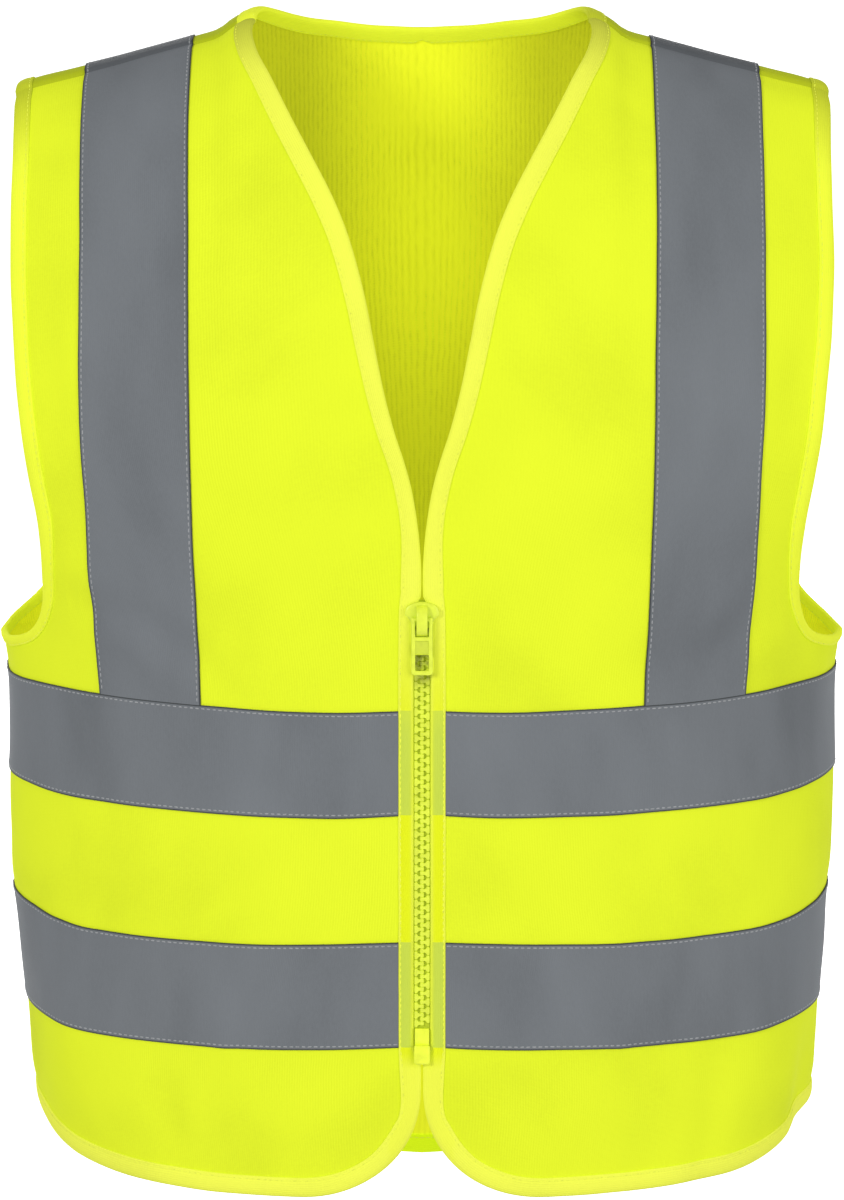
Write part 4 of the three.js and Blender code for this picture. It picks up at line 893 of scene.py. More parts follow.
def knit_group():
    """Ribs of a fine knit: wales across, broken into loops along, with uneven yarn."""
    tree, start, end = new_group(
        "Knit ribs",
        [("Vector", "NodeSocketVector", None), ("Wale", "NodeSocketFloat", 0.0018),
         ("Course", "NodeSocketFloat", 0.0012), ("Break", "NodeSocketFloat", 0.4)],
        [("Height", "NodeSocketFloat"), ("Tone", "NodeSocketFloat")])
    split = node(tree, "ShaderNodeSeparateXYZ", (-700, 100))
    tree.links.new(start.outputs["Vector"], split.inputs[0])
    drift = node(tree, "ShaderNodeTexNoise", (-700, -150), Scale=55.0, Detail=2.0)
    tree.links.new(start.outputs["Vector"], drift.inputs["Vector"])
    wander = maths(tree, "MULTIPLY", (-520, -150), drift.outputs["Fac"], 0.0012)
    across = maths(tree, "ADD", (-340, 150), split.outputs["X"], wander)
    turn = maths(tree, "DIVIDE", (-180, 150), across, start.outputs["Wale"])
    rib = maths(tree, "SINE", (0, 150), maths(tree, "MULTIPLY", (-90, 150), turn, 2 * math.pi))
    loop = maths(tree, "DIVIDE", (-180, -20), split.outputs["Y"], start.outputs["Course"])
    loop = maths(tree, "SINE", (0, -20), maths(tree, "MULTIPLY", (-90, -20), loop, 2 * math.pi))
    stretch = node(tree, "ShaderNodeMapping", (-520, -400), Scale=(900.0, 130.0, 1.0))
    tree.links.new(start.outputs["Vector"], stretch.inputs["Vector"])
    yarn = node(tree, "ShaderNodeTexNoise", (-340, -400), Scale=1.0, Detail=2.0, Roughness=0.6)
    tree.links.new(stretch.outputs[0], yarn.inputs["Vector"])
    broken = maths(tree, "MULTIPLY", (-160, -400),
                   maths(tree, "SUBTRACT", (-250, -400), yarn.outputs["Fac"], 0.5), 2.6)
    uneven = maths(tree, "MULTIPLY", (100, -300), broken, start.outputs["Break"])
    plain = maths(tree, "ADD", (200, 60), maths(tree, "MULTIPLY", (100, 150), rib, 0.42),
                  maths(tree, "MULTIPLY", (100, 0), loop, 0.1))
    height = maths(tree, "ADD", (320, 0), plain, uneven)
    tree.links.new(maths(tree, "ADD", (440, 0), height, 0.5), end.inputs["Height"])
    tone = maths(tree, "ADD", (440, -200), maths(tree, "MULTIPLY", (320, -200), height, 0.5), 0.5)
    tree.links.new(tone, end.inputs["Tone"])
    return tree


def tone_group():
    """Slow drift of tone over cloth or plastic, from a large and a small noise."""
    tree, start, end = new_group(
        "Soft tone",
        [("Vector", "NodeSocketVector", None), ("Scale", "NodeSocketFloat", 9.0),
         ("Grain", "NodeSocketFloat", 0.3)],
        [("Tone", "NodeSocketFloat")])
    large = node(tree, "ShaderNodeTexNoise", (-600, 100), Detail=3.0, Roughness=0.5)
    small = node(tree, "ShaderNodeTexNoise", (-600, -200), Detail=4.0, Roughness=0.7)
    for texture in (large, small):
        tree.links.new(start.outputs["Vector"], texture.inputs["Vector"])
    tree.links.new(start.outputs["Scale"], large.inputs["Scale"])
    tree.links.new(maths(tree, "MULTIPLY", (-760, -200), start.outputs["Scale"], 45.0),
                   small.inputs["Scale"])
    fine = maths(tree, "MULTIPLY", (-300, -200),
                 maths(tree, "SUBTRACT", (-420, -200), small.outputs["Fac"], 0.5),
                 start.outputs["Grain"])
    tree.links.new(maths(tree, "ADD", (0, 0), large.outputs["Fac"], fine), end.inputs["Tone"])
    return tree


GROUPS = {}
PAINTED_SHADE_COLOUR = (0.1, 0.105, 0.01)      # painted shade in the slider's and the teeth's corners, under the tab and in its recess


def group(tree, name, at, **values):
    """One of the shared groups, made at its first use."""
    if name not in GROUPS:
        GROUPS[name] = {"knit": knit_group, "tone": tone_group}[name]()
    made = tree.nodes.new("ShaderNodeGroup")
    made.node_tree, made.location = GROUPS[name], at
    for key, value in values.items():
        made.inputs[key].default_value = value
    return made


def new_material(name, roughness, specular=0.3):
    material = bpy.data.materials.new(name)
    material.use_nodes = True
    tree = material.node_tree
    shader = tree.nodes["Principled BSDF"]
    shader.inputs["Roughness"].default_value = roughness
    shader.inputs["Specular IOR Level"].default_value = specular
    shader.location, tree.nodes["Material Output"].location = (900, 0), (1200, 0)
    return material, tree, shader


def colour_ramp(tree, at, factor, stops):
    ramp = tree.nodes.new("ShaderNodeValToRGB")
    ramp.location = at
    elements = ramp.color_ramp.elements
    while len(elements) < len(stops):
        elements.new(0.5)
    for element, (where, colour) in zip(elements, stops):
        element.position, element.color = where, (*colour, 1.0)
    tree.links.new(factor, ramp.inputs["Fac"])
    return ramp.outputs["Color"]


def shade(colour, amount):
    return tuple(min(1.0, c * amount) for c in colour)


def attribute(tree, at, name):
    """A piece's own attribute as a mask."""
    return node(tree, "ShaderNodeAttribute", at, attribute_name=name).outputs["Fac"]


def uneven_gloss(tree, shader, tone, share, least):
    """Roughness that drifts with the tone."""
    drift = maths(tree, "MULTIPLY", (150, -150), tone.outputs["Tone"], share)
    tree.links.new(maths(tree, "ADD", (300, -150), drift, least), shader.inputs["Roughness"])


def bump(tree, shader, height, distance, strength=1.0):
    made = node(tree, "ShaderNodeBump", (650, -300), Strength=strength, Distance=distance)
    tree.links.new(height, made.inputs["Height"])
    tree.links.new(made.outputs["Normal"], shader.inputs["Normal"])


def glow(tree, shader, colour_socket, strength):
    """Painted light: a small glow of the colour, standing in for the fluorescent dye's brightness.
    """
    tree.links.new(colour_socket, shader.inputs["Emission Color"])
    shader.inputs["Emission Strength"].default_value = strength


def cloth_vector(tree):
    """The cloth's own coordinates: across and along its run, in metres."""
    made = node(tree, "ShaderNodeUVMap", (-900, 0))
    made.uv_map = "cloth"
    return made.outputs["UV"]


def band_cover(tree, at):
    """1 at the heights where the bands run on under the front edge, 0 elsewhere."""
    split = node(tree, "ShaderNodeSeparateXYZ", at)
    tree.links.new(node(tree, "ShaderNodeTexCoord", (at[0] - 180, at[1])).outputs["Object"],
                   split.inputs[0])
    covers = []
    for k in (1, 3):
        middle = (LEVELS[0][k + 1] + LEVELS[0][k + 2]) / 2 * MM
        half = (LEVELS[0][k + 1] - LEVELS[0][k + 2]) / 2 * MM
        away = maths(tree, "ABSOLUTE", (at[0] + 320, at[1]),
                     maths(tree, "SUBTRACT", (at[0] + 160, at[1]), split.outputs["Z"], middle))
        covers.append(maths(tree, "LESS_THAN", (at[0] + 480, at[1]), away, half))
    return maths(tree, "MAXIMUM", (at[0] + 640, at[1]), *covers)


def knit_material(name, colour, wale, course, depth, uneven, contrast, strength, strips=None,
                  hollow=False):
    """Fluorescent knit: fine ribs on the cloth's own coordinates under a slow drift of tone.

    strips are the binding's colours beside the zip and where a band runs on under it;
    hollow paints shade on the inside of the back.
    """
    material, tree, shader = new_material(name, 0.9, 0.06)
    vector = cloth_vector(tree)
    knit = group(tree, "knit", (-600, -200), Wale=wale, Course=course, Break=uneven)
    tone = group(tree, "tone", (-600, 150), Scale=11.0, Grain=0.25)
    for user in (knit, tone):
        tree.links.new(vector, user.inputs["Vector"])
    slow = maths(tree, "MULTIPLY", (-380, 150),
                 maths(tree, "SUBTRACT", (-480, 150), tone.outputs["Tone"], 0.5), 0.5)
    rib = maths(tree, "MULTIPLY", (-380, -50),
                maths(tree, "SUBTRACT", (-480, -50), knit.outputs["Tone"], 0.5), contrast)
    mixed = maths(tree, "ADD", (-100, 0), maths(tree, "ADD", (-240, 50), slow, rib), 0.5)
    colours = colour_ramp(tree, (100, 100), mixed, [
        (0.0, shade(colour, 0.62)), (0.5, colour), (1.0, shade(colour, 1.14))])
    if strips:
        strip_mask = attribute(tree, (-100, 500), "strip")
        over = maths(tree, "MULTIPLY", (150, 500), strip_mask, band_cover(tree, (-700, 700)))
        for amount, tint in zip((strip_mask, over), strips):
            colours = mix_colours(tree, (350, 300), amount, colours, tint)
    colours = painted_seam_shade(tree, colours, vector, (-200, -700))
    # painted shade on the inside of the back
    if hollow:
        colours = painted_hollow_shade(tree, colours, vector, (-200, -1100))
    tree.links.new(colours, shader.inputs["Base Color"])
    glow(tree, shader, colours, strength)
    bump(tree, shader, knit.outputs["Height"], depth)
    return material


def plastic_material(name, colour, strength):
    """Moulded and enamelled zip parts: satin and faintly mottled."""
    material, tree, shader = new_material(name, 0.36, 0.32)
    place_in = node(tree, "ShaderNodeTexCoord", (-900, 0)).outputs["Object"]
    tone = group(tree, "tone", (-600, 100), Scale=220.0, Grain=0.5)
    tree.links.new(place_in, tone.inputs["Vector"])
    colours = colour_ramp(tree, (-200, 100), tone.outputs["Tone"], [
        (0.2, shade(colour, 0.86)), (0.5, colour), (0.85, shade(colour, 1.1))])
    patchy = map_range(tree, (-380, 400), tone.outputs["Tone"], 0.25, 0.6, soft=False)
    # painted shade in corners and under the tab, broken up by the mottling
    painted_shade = maths(tree, "MULTIPLY", (-20, 400), attribute(tree, (-200, 400), "painted_shade"), patchy)
    colours = mix_colours(tree, (100, 250), painted_shade, colours, PAINTED_SHADE_COLOUR)
    tree.links.new(colours, shader.inputs["Base Color"])
    glow(tree, shader, colours, strength)
    uneven_gloss(tree, shader, tone, 0.2, 0.26)
    bump(tree, shader, tone.outputs["Tone"], 0.00006, 0.6)
    return material


def tape_material(name, colour, edge_shade):
    """Grey reflective tape: a skin of fine glass beads, with painted shade along its cut edges."""
    material, tree, shader = new_material(name, 0.75, 0.06)
    vector = cloth_vector(tree)
    slant = node(tree, "ShaderNodeMapping", (-1060, 250), Rotation=(0, 0, 0.55),
                 Scale=(1.3, 0.5, 1))
    tree.links.new(vector, slant.inputs["Vector"])
    tone = group(tree, "tone", (-700, 200), Scale=14.0, Grain=0.3)
    tree.links.new(slant.outputs[0], tone.inputs["Vector"])
    beads = node(tree, "ShaderNodeTexVoronoi", (-700, -150), Scale=4200.0)
    tree.links.new(vector, beads.inputs["Vector"])
    weave = group(tree, "knit", (-700, -400), Wale=0.0009, Course=0.0009, Break=0.3)
    tree.links.new(vector, weave.inputs["Vector"])
    fine = maths(tree, "MULTIPLY", (-450, -150),
                 maths(tree, "SUBTRACT", (-560, -150), beads.outputs["Distance"], 0.5), 0.12)
    mixed = maths(tree, "ADD", (-300, 100), tone.outputs["Tone"], fine)
    body = colour_ramp(tree, (-100, 100), mixed, [
        (0.25, shade(colour, 0.82)), (0.5, colour), (0.8, shade(colour, 1.14))])
    # painted shade: the tape darkens towards its long edges, where it meets the cloth
    inside = map_range(tree, (-300, 450), attribute(tree, (-500, 450), "edge"), 0.25, 1.0)
    colours = mix_colours(tree, (300, 200), inside, edge_shade, body)
    colours = painted_seam_shade(tree, colours, vector, (-200, -700))
    tree.links.new(colours, shader.inputs["Base Color"])
    uneven_gloss(tree, shader, tone, 0.25, 0.46)
    bump(tree, shader, maths(tree, "ADD", (300, -350), weave.outputs["Height"], fine), 0.00005, 0.7)
    return material


def thread_material(name, colour, strength):
    """Twisted sewing thread."""
    material, tree, shader = new_material(name, 0.7, 0.3)
    place_in = node(tree, "ShaderNodeTexCoord", (-900, 0)).outputs["Object"]
    tone = group(tree, "tone", (-600, 100), Scale=600.0, Grain=0.6)
    tree.links.new(place_in, tone.inputs["Vector"])
    colours = colour_ramp(tree, (-200, 100), tone.outputs["Tone"], [
        (0.2, shade(colour, 0.75)), (0.5, colour), (0.85, shade(colour, 1.2))])
    tree.links.new(colours, shader.inputs["Base Color"])
    glow(tree, shader, colours, strength)
    bump(tree, shader, tone.outputs["Tone"], 0.00005, 0.5)
    return material


MATERIALS = {}
# wale, course, depth, unevenness and contrast of the ribs
FACE_RIBS = (0.0013, 0.0016, 0.00005, 0.35, 0.07)
BACK_RIBS = (0.0018, 0.0014, 0.00012, 0.6, 0.5)
BINDING_RIBS = (0.0011, 0.0016, 0.00008, 0.4, 0.16)
ZIP_TAPE_RIBS = (0.0008, 0.0010, 0.00005, 0.3, 0.25)


def finish_of(name):
    """A finish from the settings, made at its first use."""
    s = settings()
    makers = {
        "knit_face": lambda: knit_material("Knit face", s.knit_colour, *FACE_RIBS, s.glow),
        # painted light: four times the glow lifts the shaded inside of the back
        "knit_back": lambda: knit_material(
            "Knit back", s.knit_back_colour, *BACK_RIBS, s.glow * 4, hollow=True),
        "binding": lambda: knit_material("Binding", s.binding_colour, *BINDING_RIBS, s.glow,
                                         (s.strip_colour, s.strip_over_band_colour)),
        # painted light: twice the glow brightens these bindings
        "soft_binding": lambda: knit_material(
            "Soft binding", s.soft_binding_colour, *BINDING_RIBS, s.glow * 2),
        # painted light: six times the glow lifts the back's hem binding, which lies in the front's
        # shadow
        "hem_binding": lambda: knit_material(
            "Hem binding", s.hem_binding_colour, *BINDING_RIBS, s.glow * 6),
        "zip_tape": lambda: knit_material("Zip tape", s.zip_tape_colour, *ZIP_TAPE_RIBS, s.glow),
        "zip_cord": lambda: knit_material("Zip cord", s.zip_cord_colour, *ZIP_TAPE_RIBS, s.glow),
        "box_plastic": lambda: plastic_material("Zip box plastic", s.box_colour, s.glow),
        "tape": lambda: tape_material("Reflective tape", s.tape_colour, s.tape_edge_shade_colour),
        "plastic": lambda: plastic_material("Zip plastic", s.plastic_colour, s.glow),
        "grey_thread": lambda: thread_material("Grey thread", s.grey_thread_colour, 0.0),
        "lime_thread": lambda: thread_material("Lime thread", s.lime_thread_colour, s.glow),
    }
    if name not in MATERIALS:
        MATERIALS[name] = makers[name]()
    return MATERIALS[name]


# ---------------------------------------------------------------- the cloth pieces

CACHE = {}
CUT_SHARE = 0.22
UPPER_TOP = UPPER_ROWS + DENSE
UPPER_BAND = (UPPER_TOP, UPPER_TOP + 2 * DENSE)
LOWER_BAND = (UPPER_TOP + 4 * DENSE, UPPER_TOP + 6 * DENSE)
SIDES = (("left", False), ("right", True))


def on_side(places, mirror):
    """Grids of one half's places: its main grid, and its edge and inner lines in pairs."""
    return {key: Grid.of(value, mirror) if key == "main" else
            tuple(Grid.of(line, mirror) for line in value) for key, value in places.items()}


def front_of(side):
    """The front panel's grids on one side."""
    if ("front", side) not in CACHE:
        if "front" not in CACHE:
            CACHE["front"] = front_grid()
        CACHE["front", side] = on_side(CACHE["front"], side == "right")
    return CACHE["front", side]


def joined(left, right):
    """Both halves of the back as one grid or line, from the wearer's left to right."""
    cut = (slice(None), slice(None, 0, -1)) if left.at.ndim == 3 else slice(None, 0, -1)
    axis = 1 if left.at.ndim == 3 else 0
    return Grid(*(np.concatenate([getattr(left, k)[cut], getattr(right, k)], axis=axis)
                  for k in ("at", "out", "uv")))


def back_of():
    """The whole back panel's grids and lines."""
    if "back" not in CACHE:
        places = back_grid()
        left, right = (on_side(places, mirror) for mirror in (False, True))
        CACHE["back"] = {
            "main": joined(left["main"], right["main"]),
            "neck": tuple(joined(a, b) for a, b in zip(left["neck"], right["neck"])),
            "hem": tuple(joined(a, b) for a, b in zip(left["hem"], right["hem"])),
            "arm_left": left["arm"], "arm_right": right["arm"],
            "half_left": left["main"], "half_right": right["main"],
        }
    return CACHE["back"]


def under_binding(edge, inner):
    """The rim under a binding, its cut edge a share of the width in from the fold."""
    cut = Grid(lerp(edge.at, inner.at, CUT_SHARE), unit(lerp(edge.out, inner.out, CUT_SHARE)),
               lerp(edge.uv, inner.uv, CUT_SHARE))
    return strip(cut, inner, 2)


def front_edge_lines(side):
    """The front binding's edge and inner lines: neck, zip, round corner and hem."""
    grids = front_of(side)
    (edge, inner), (hem_edge, hem_inner) = grids["front"], grids["hem"]
    return tuple(
        Grid(*(np.concatenate([getattr(a, k), getattr(b, k)[1:]]) for k in ("at", "out", "uv")))
        for a, b in ((edge, hem_edge), (inner, hem_inner)))


def dress(made, body, cad_nodes):
    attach(made, body)
    if cad_nodes:
        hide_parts(*cad_nodes)
    return made


def long_edges(sewn):
    """Places to pick a tape's two long edges and the lines beside them out of its grid."""
    for edge, beside in ((0, 1), (-1, -2)):
        if sewn == "rows":
            yield np.s_[edge], np.s_[beside]
        else:
            yield np.s_[:, edge], np.s_[:, beside]


def tape_piece(name, grid, node_name, sewn):
    edges = np.concatenate([grid.at[edge] for edge, _ in long_edges(sewn)])
    made = shell(name, [grid], GAP, TAPE_TOP, [finish_of("tape")], sewn_edges=edges)
    return dress(made, "vest", [node_name])


def tape_parts():
    """Every tape and band: name, CAD node, grid and which of its edges are sewn."""
    tape_columns = (FRONT_COLUMNS, FRONT_COLUMNS + TAPE_COLUMNS)
    parts = []
    for side, _ in SIDES:
        main = front_of(side)["main"]
        last = main.at.shape[1] - 1
        parts.append((f"tape_over_shoulder_front_{side}", f"tape_shoulder_front_{side}",
                      main.part((0, UPPER_TOP), tape_columns), "columns"))
        for level, rows in (("upper", UPPER_BAND), ("lower", LOWER_BAND)):
            parts.append((f"band_{level}_of_front_{side}", f"band_{level}_front_{side}",
                          main.part(rows, (0, last)), "rows"))
    back = back_of()
    start = NECK_COLUMNS + DENSE
    for side, _ in SIDES:
        parts.append((f"tape_over_shoulder_back_{side}", f"tape_shoulder_back_{side}",
                      back[f"half_{side}"].part((0, UPPER_TOP), (start, start + TAPE_COLUMNS)),
                      "columns"))
    last = back["main"].at.shape[1] - 1
    for level, rows in (("upper", UPPER_BAND), ("lower", LOWER_BAND)):
        parts.append((f"band_{level}_of_back", f"band_{level}_back",
                      back["main"].part(rows, (0, last)), "rows"))
    return parts


def binding_parts():
    """Every binding: name, CAD node, and its edge and inner lines."""
    parts = []
    for side, _ in SIDES:
        parts.append((f"binding_of_front_{side}", f"binding_front_{side}", *front_edge_lines(side)))
        parts.append((f"binding_of_armhole_front_{side}", f"binding_armhole_front_{side}",
                      *front_of(side)["arm"]))
        parts.append((f"binding_of_armhole_back_{side}", f"binding_armhole_back_{side}",
                      *back_of()[f"arm_{side}"]))
    parts.append(("binding_of_back_neck", "binding_neck_back", *back_of()["neck"]))
    parts.append(("binding_of_back_hem", "binding_hem_back", *back_of()["hem"]))
    return parts


class VEST_OT_front_panels(Operator):
    """Makes the two front panels of knit."""

    bl_idname = "vest.front_panels"
    bl_label = "Front Panels"

    def execute(self, context):
        for side, _ in SIDES:
            grids = front_of(side)
            rims = [under_binding(*grids[key]) for key in ("front", "hem", "arm")]
            made = shell(f"front_panel_{side}", [grids["main"], *rims], -CLOTH, 0.0,
                         [finish_of("knit_face"), finish_of("knit_back")])
            dress(made, "vest", [f"panel_front_{side}"])
        return {"FINISHED"}


class VEST_OT_back_panel(Operator):
    """Makes the back panel of knit, with its longer round tail."""

    bl_idname = "vest.back_panel"
    bl_label = "Back Panel"

    def execute(self, context):
        grids = back_of()
        rims = [under_binding(*grids[key]) for key in ("neck", "hem", "arm_left", "arm_right")]
        made = shell("back_panel", [grids["main"], *rims], -CLOTH, 0.0,
                     [finish_of("knit_face"), finish_of("knit_back")])
        dress(made, "vest", ["panel_back"])
        return {"FINISHED"}


class VEST_OT_bindings(Operator):
    """Folds the bindings over the neck, front, hem and armhole edges."""

    bl_idname = "vest.bindings"
    bl_label = "Edge Bindings"

    def execute(self, context):
        for name, cad_node, edge, inner in binding_parts():
            finish = {"binding_of_front": "binding", "binding_of_back_hem": "hem_binding"}.get(
                name.removesuffix("_left").removesuffix("_right"), "soft_binding")
            made = binding(name, edge, inner, finish_of(finish))
            dress(made, "vest", [cad_node])
        return {"FINISHED"}


class VEST_OT_tapes(Operator):
    """Lays the reflective tapes over the shoulders and both bands round the body."""

    bl_idname = "vest.tapes"
    bl_label = "Reflective Tapes"

    def execute(self, context):
        for name, cad_node, grid, sewn in tape_parts():
            tape_piece(name, grid, cad_node, sewn)
        return {"FINISHED"}


# the sewing: a stitch's share of the pitch, the tape's margin outside it, heights on a binding
STITCH_LENGTH, TAPE_MARGIN = 0.72, 1.7
BINDING_SEAMS = ((0.94, 1), (-2.24, -1))


def tape_seams(grid, sewn):
    """The sewn lines of a tape, a little inside its long edges."""
    for edge, beside in long_edges(sewn):
        way = unit(grid.at[beside] - grid.at[edge])
        yield grid.at[edge] + way * TAPE_MARGIN + grid.out[edge] * TAPE_TOP, grid.out[edge]


class VEST_OT_stitching(Operator):
    """Sews the tapes and bindings down with lockstitch."""

    bl_idname = "vest.stitching"
    bl_label = "Stitching"

    def execute(self, context):
        pitch = settings().stitch_pitch / MM
        length = pitch * STITCH_LENGTH
        grey = [stitch_line(at, out, pitch, length)
                for _, _, grid, sewn in tape_parts() for at, out in tape_seams(grid, sewn)]
        made = stitches("stitching_of_tapes", grey, length, 0.62, 0.34,
                        finish_of("grey_thread"), 11)
        dress(made, "vest", [])
        lime = []
        for _, _, edge, inner in binding_parts():
            for height, way in BINDING_SEAMS:
                out = unit(lerp(edge.out, inner.out, STITCH_SHARE))
                at = lerp(edge.at, inner.at, STITCH_SHARE) + out * height
                lime.append(stitch_line(at, out * way, pitch, length))
        made = stitches("stitching_of_bindings", lime, length, 0.5, 0.2,
                        finish_of("lime_thread"), 12)
        dress(made, "vest", [])
        return {"FINISHED"}


# ---------------------------------------------------------------- the zip

ZIP_TOP, ZIP_BOTTOM = -266, -508
CHAIN_TOP, FILM_TOP = -295, -492
PIVOT_Z, PIVOT_OUT = -288.2, 5.3
ZIP_LINE = float(skin(place_at_height(0.0, PIVOT_Z, False))[1])
BOX_TOP, BOX_BOTTOM = -499, -508.5
BOX_LINE = float(skin(place_at_height(0.0, BOX_TOP, False))[1])


def zip_grid(xs, top, bottom, count):
    """A grid down the zip at distances from the centre line, below 0 on the -X side."""
    z = np.linspace(top, bottom, count + 1)
    columns = [Grid.of(place_at_height(np.full(len(z), abs(x)), z, False), x < 0) for x in xs]
    return Grid(*(np.stack([getattr(c, k) for c in columns], 1) for k in ("at", "out", "uv")))


def add_face(name, outline, out, line=ZIP_LINE):
    """A flat face across the zip from an outline of x and height, a distance out from a line."""
    bpy.ops.object.select_all(action="DESELECT")
    bpy.ops.mesh.primitive_circle_add(vertices=len(outline), radius=1, fill_type="NGON")
    made = bpy.context.object
    made.name = made.data.name = name
    for vertex, (x, z) in zip(made.data.vertices, outline):
        vertex.co = (x * MM, (line - out) * MM, z * MM)
    made.location = (0, 0, 0)
    return made


def pick_faces(made, test):
    """Selects faces in edit mode by a test of middle and normal, in millimetres."""
    mesh = bmesh.from_edit_mesh(made.data)
    for face in mesh.faces:
        face.select_set(bool(test(face.calc_center_median() / MM, face.normal)))
    mesh.select_flush_mode()
    bmesh.update_edit_mesh(made.data)


def edit(made):
    select_only(made)
    bpy.ops.object.mode_set(mode="EDIT")
    bpy.ops.mesh.select_mode(type="FACE")


def thicken(made, depth):
    """Extrudes a flat face of the zip outwards by a depth and turns the solid's faces out."""
    edit(made)
    bpy.ops.mesh.select_all(action="SELECT")
    bpy.ops.mesh.extrude_region_move(TRANSFORM_OT_translate={"value": (0, -depth * MM, 0)})
    bpy.ops.mesh.select_all(action="SELECT")
    bpy.ops.mesh.normals_make_consistent(inside=False)


def finish_hard(made, width, segments, angle=35):
    """Rounds a hard piece's edges, applies what was added and shades it."""
    if bpy.context.mode != "OBJECT":
        bpy.ops.object.mode_set(mode="OBJECT")
    select_only(made)
    modifier = made.modifiers.new("Rounded edges", "BEVEL")
    modifier.width, modifier.segments = width * MM, segments
    modifier.limit_method, modifier.angle_limit = "ANGLE", math.radians(angle)
    modifier.use_clamp_overlap = True
    bpy.ops.object.modifier_apply(modifier=modifier.name)
    face_out(made)
    smooth(made, 45)


def arc(centre, radius, start, end, count):
    turn = np.radians(np.linspace(start, end, count))
    return list(zip(centre[0] + radius * np.cos(turn), centre[1] + radius * np.sin(turn)))


def rounded_outline(half, top, bottom, radius, count=5):
    return (arc((half - radius, bottom + radius), radius, -90, 0, count)
            + arc((half - radius, top - radius), radius, 0, 90, count)
            + arc((-half + radius, top - radius), radius, 90, 180, count)
            + arc((-half + radius, bottom + radius), radius, 180, 270, count))


def bend(a, b, c, count):
    """Points along a quadratic curve, its last one left to the next curve."""
    t = np.linspace(0, 1, count + 1)[:-1, None]
    a, b, c = (np.array(p, float) for p in (a, b, c))
    return [tuple(p) for p in a * (1 - t) ** 2 + 2 * b * t * (1 - t) + c * t * t]


def slider_outline(scale):
    """The slider's face: a round head narrowing to the tail."""
    head, tail = 8.3 * scale, 5.1 * scale
    top, bottom, shoulder, waist, brow, droop = -280, -300, -286.5, -292, 0.6, 1.8
    half = (bend((tail, waist), (tail, shoulder - 2), (head, shoulder), 6)
            + bend((head, shoulder), (head + 0.3, top - droop), (head / 2, top - brow), 8)
            + bend((head / 2, top - brow), (head / 4, top), (0, top), 3))
    mirrored = [(-x, z) for x, z in reversed(half)]
    return [(tail, bottom)] + half + [(0.0, top)] + mirrored + [(-tail, bottom)]


def tooth():
    """One moulded tooth of the left side about its own middle: pad, neck and head."""
    upper = [(3.75, 1.5), (3.45, 1.98), (2.35, 1.98), (2.0, 1.25), (1.45, 0.8), (0.95, 0.82),
             (0.55, 1.06), (-0.55, 1.06), (-0.95, 0.7)]
    outline = [(x, -z) for x, z in reversed(upper)] + upper
    bpy.ops.object.select_all(action="DESELECT")
    bpy.ops.mesh.primitive_circle_add(vertices=len(outline), radius=1, fill_type="NGON")
    made = bpy.context.object
    for vertex, (x, z) in zip(made.data.vertices, outline):
        vertex.co = (x * MM, 1.6 * MM, z * MM)
    made.location = (0, 0, 0)
    edit(made)
    bpy.ops.mesh.select_all(action="SELECT")
    bpy.ops.mesh.extrude_region_move(TRANSFORM_OT_translate={"value": (0, -2.55 * MM, 0)})
    bpy.ops.mesh.inset(thickness=0.2 * MM, depth=0.0)
    bpy.ops.transform.translate(value=(0, -0.22 * MM, 0))
    bpy.ops.mesh.select_all(action="SELECT")
    bpy.ops.mesh.quads_convert_to_tris()
    bpy.ops.object.mode_set(mode="OBJECT")
    face_out(made)
    vertices = np.array([v.co for v in made.data.vertices])
    faces = [list(p.vertices) for p in made.data.polygons]
    bpy.data.objects.remove(made)
    return vertices, faces


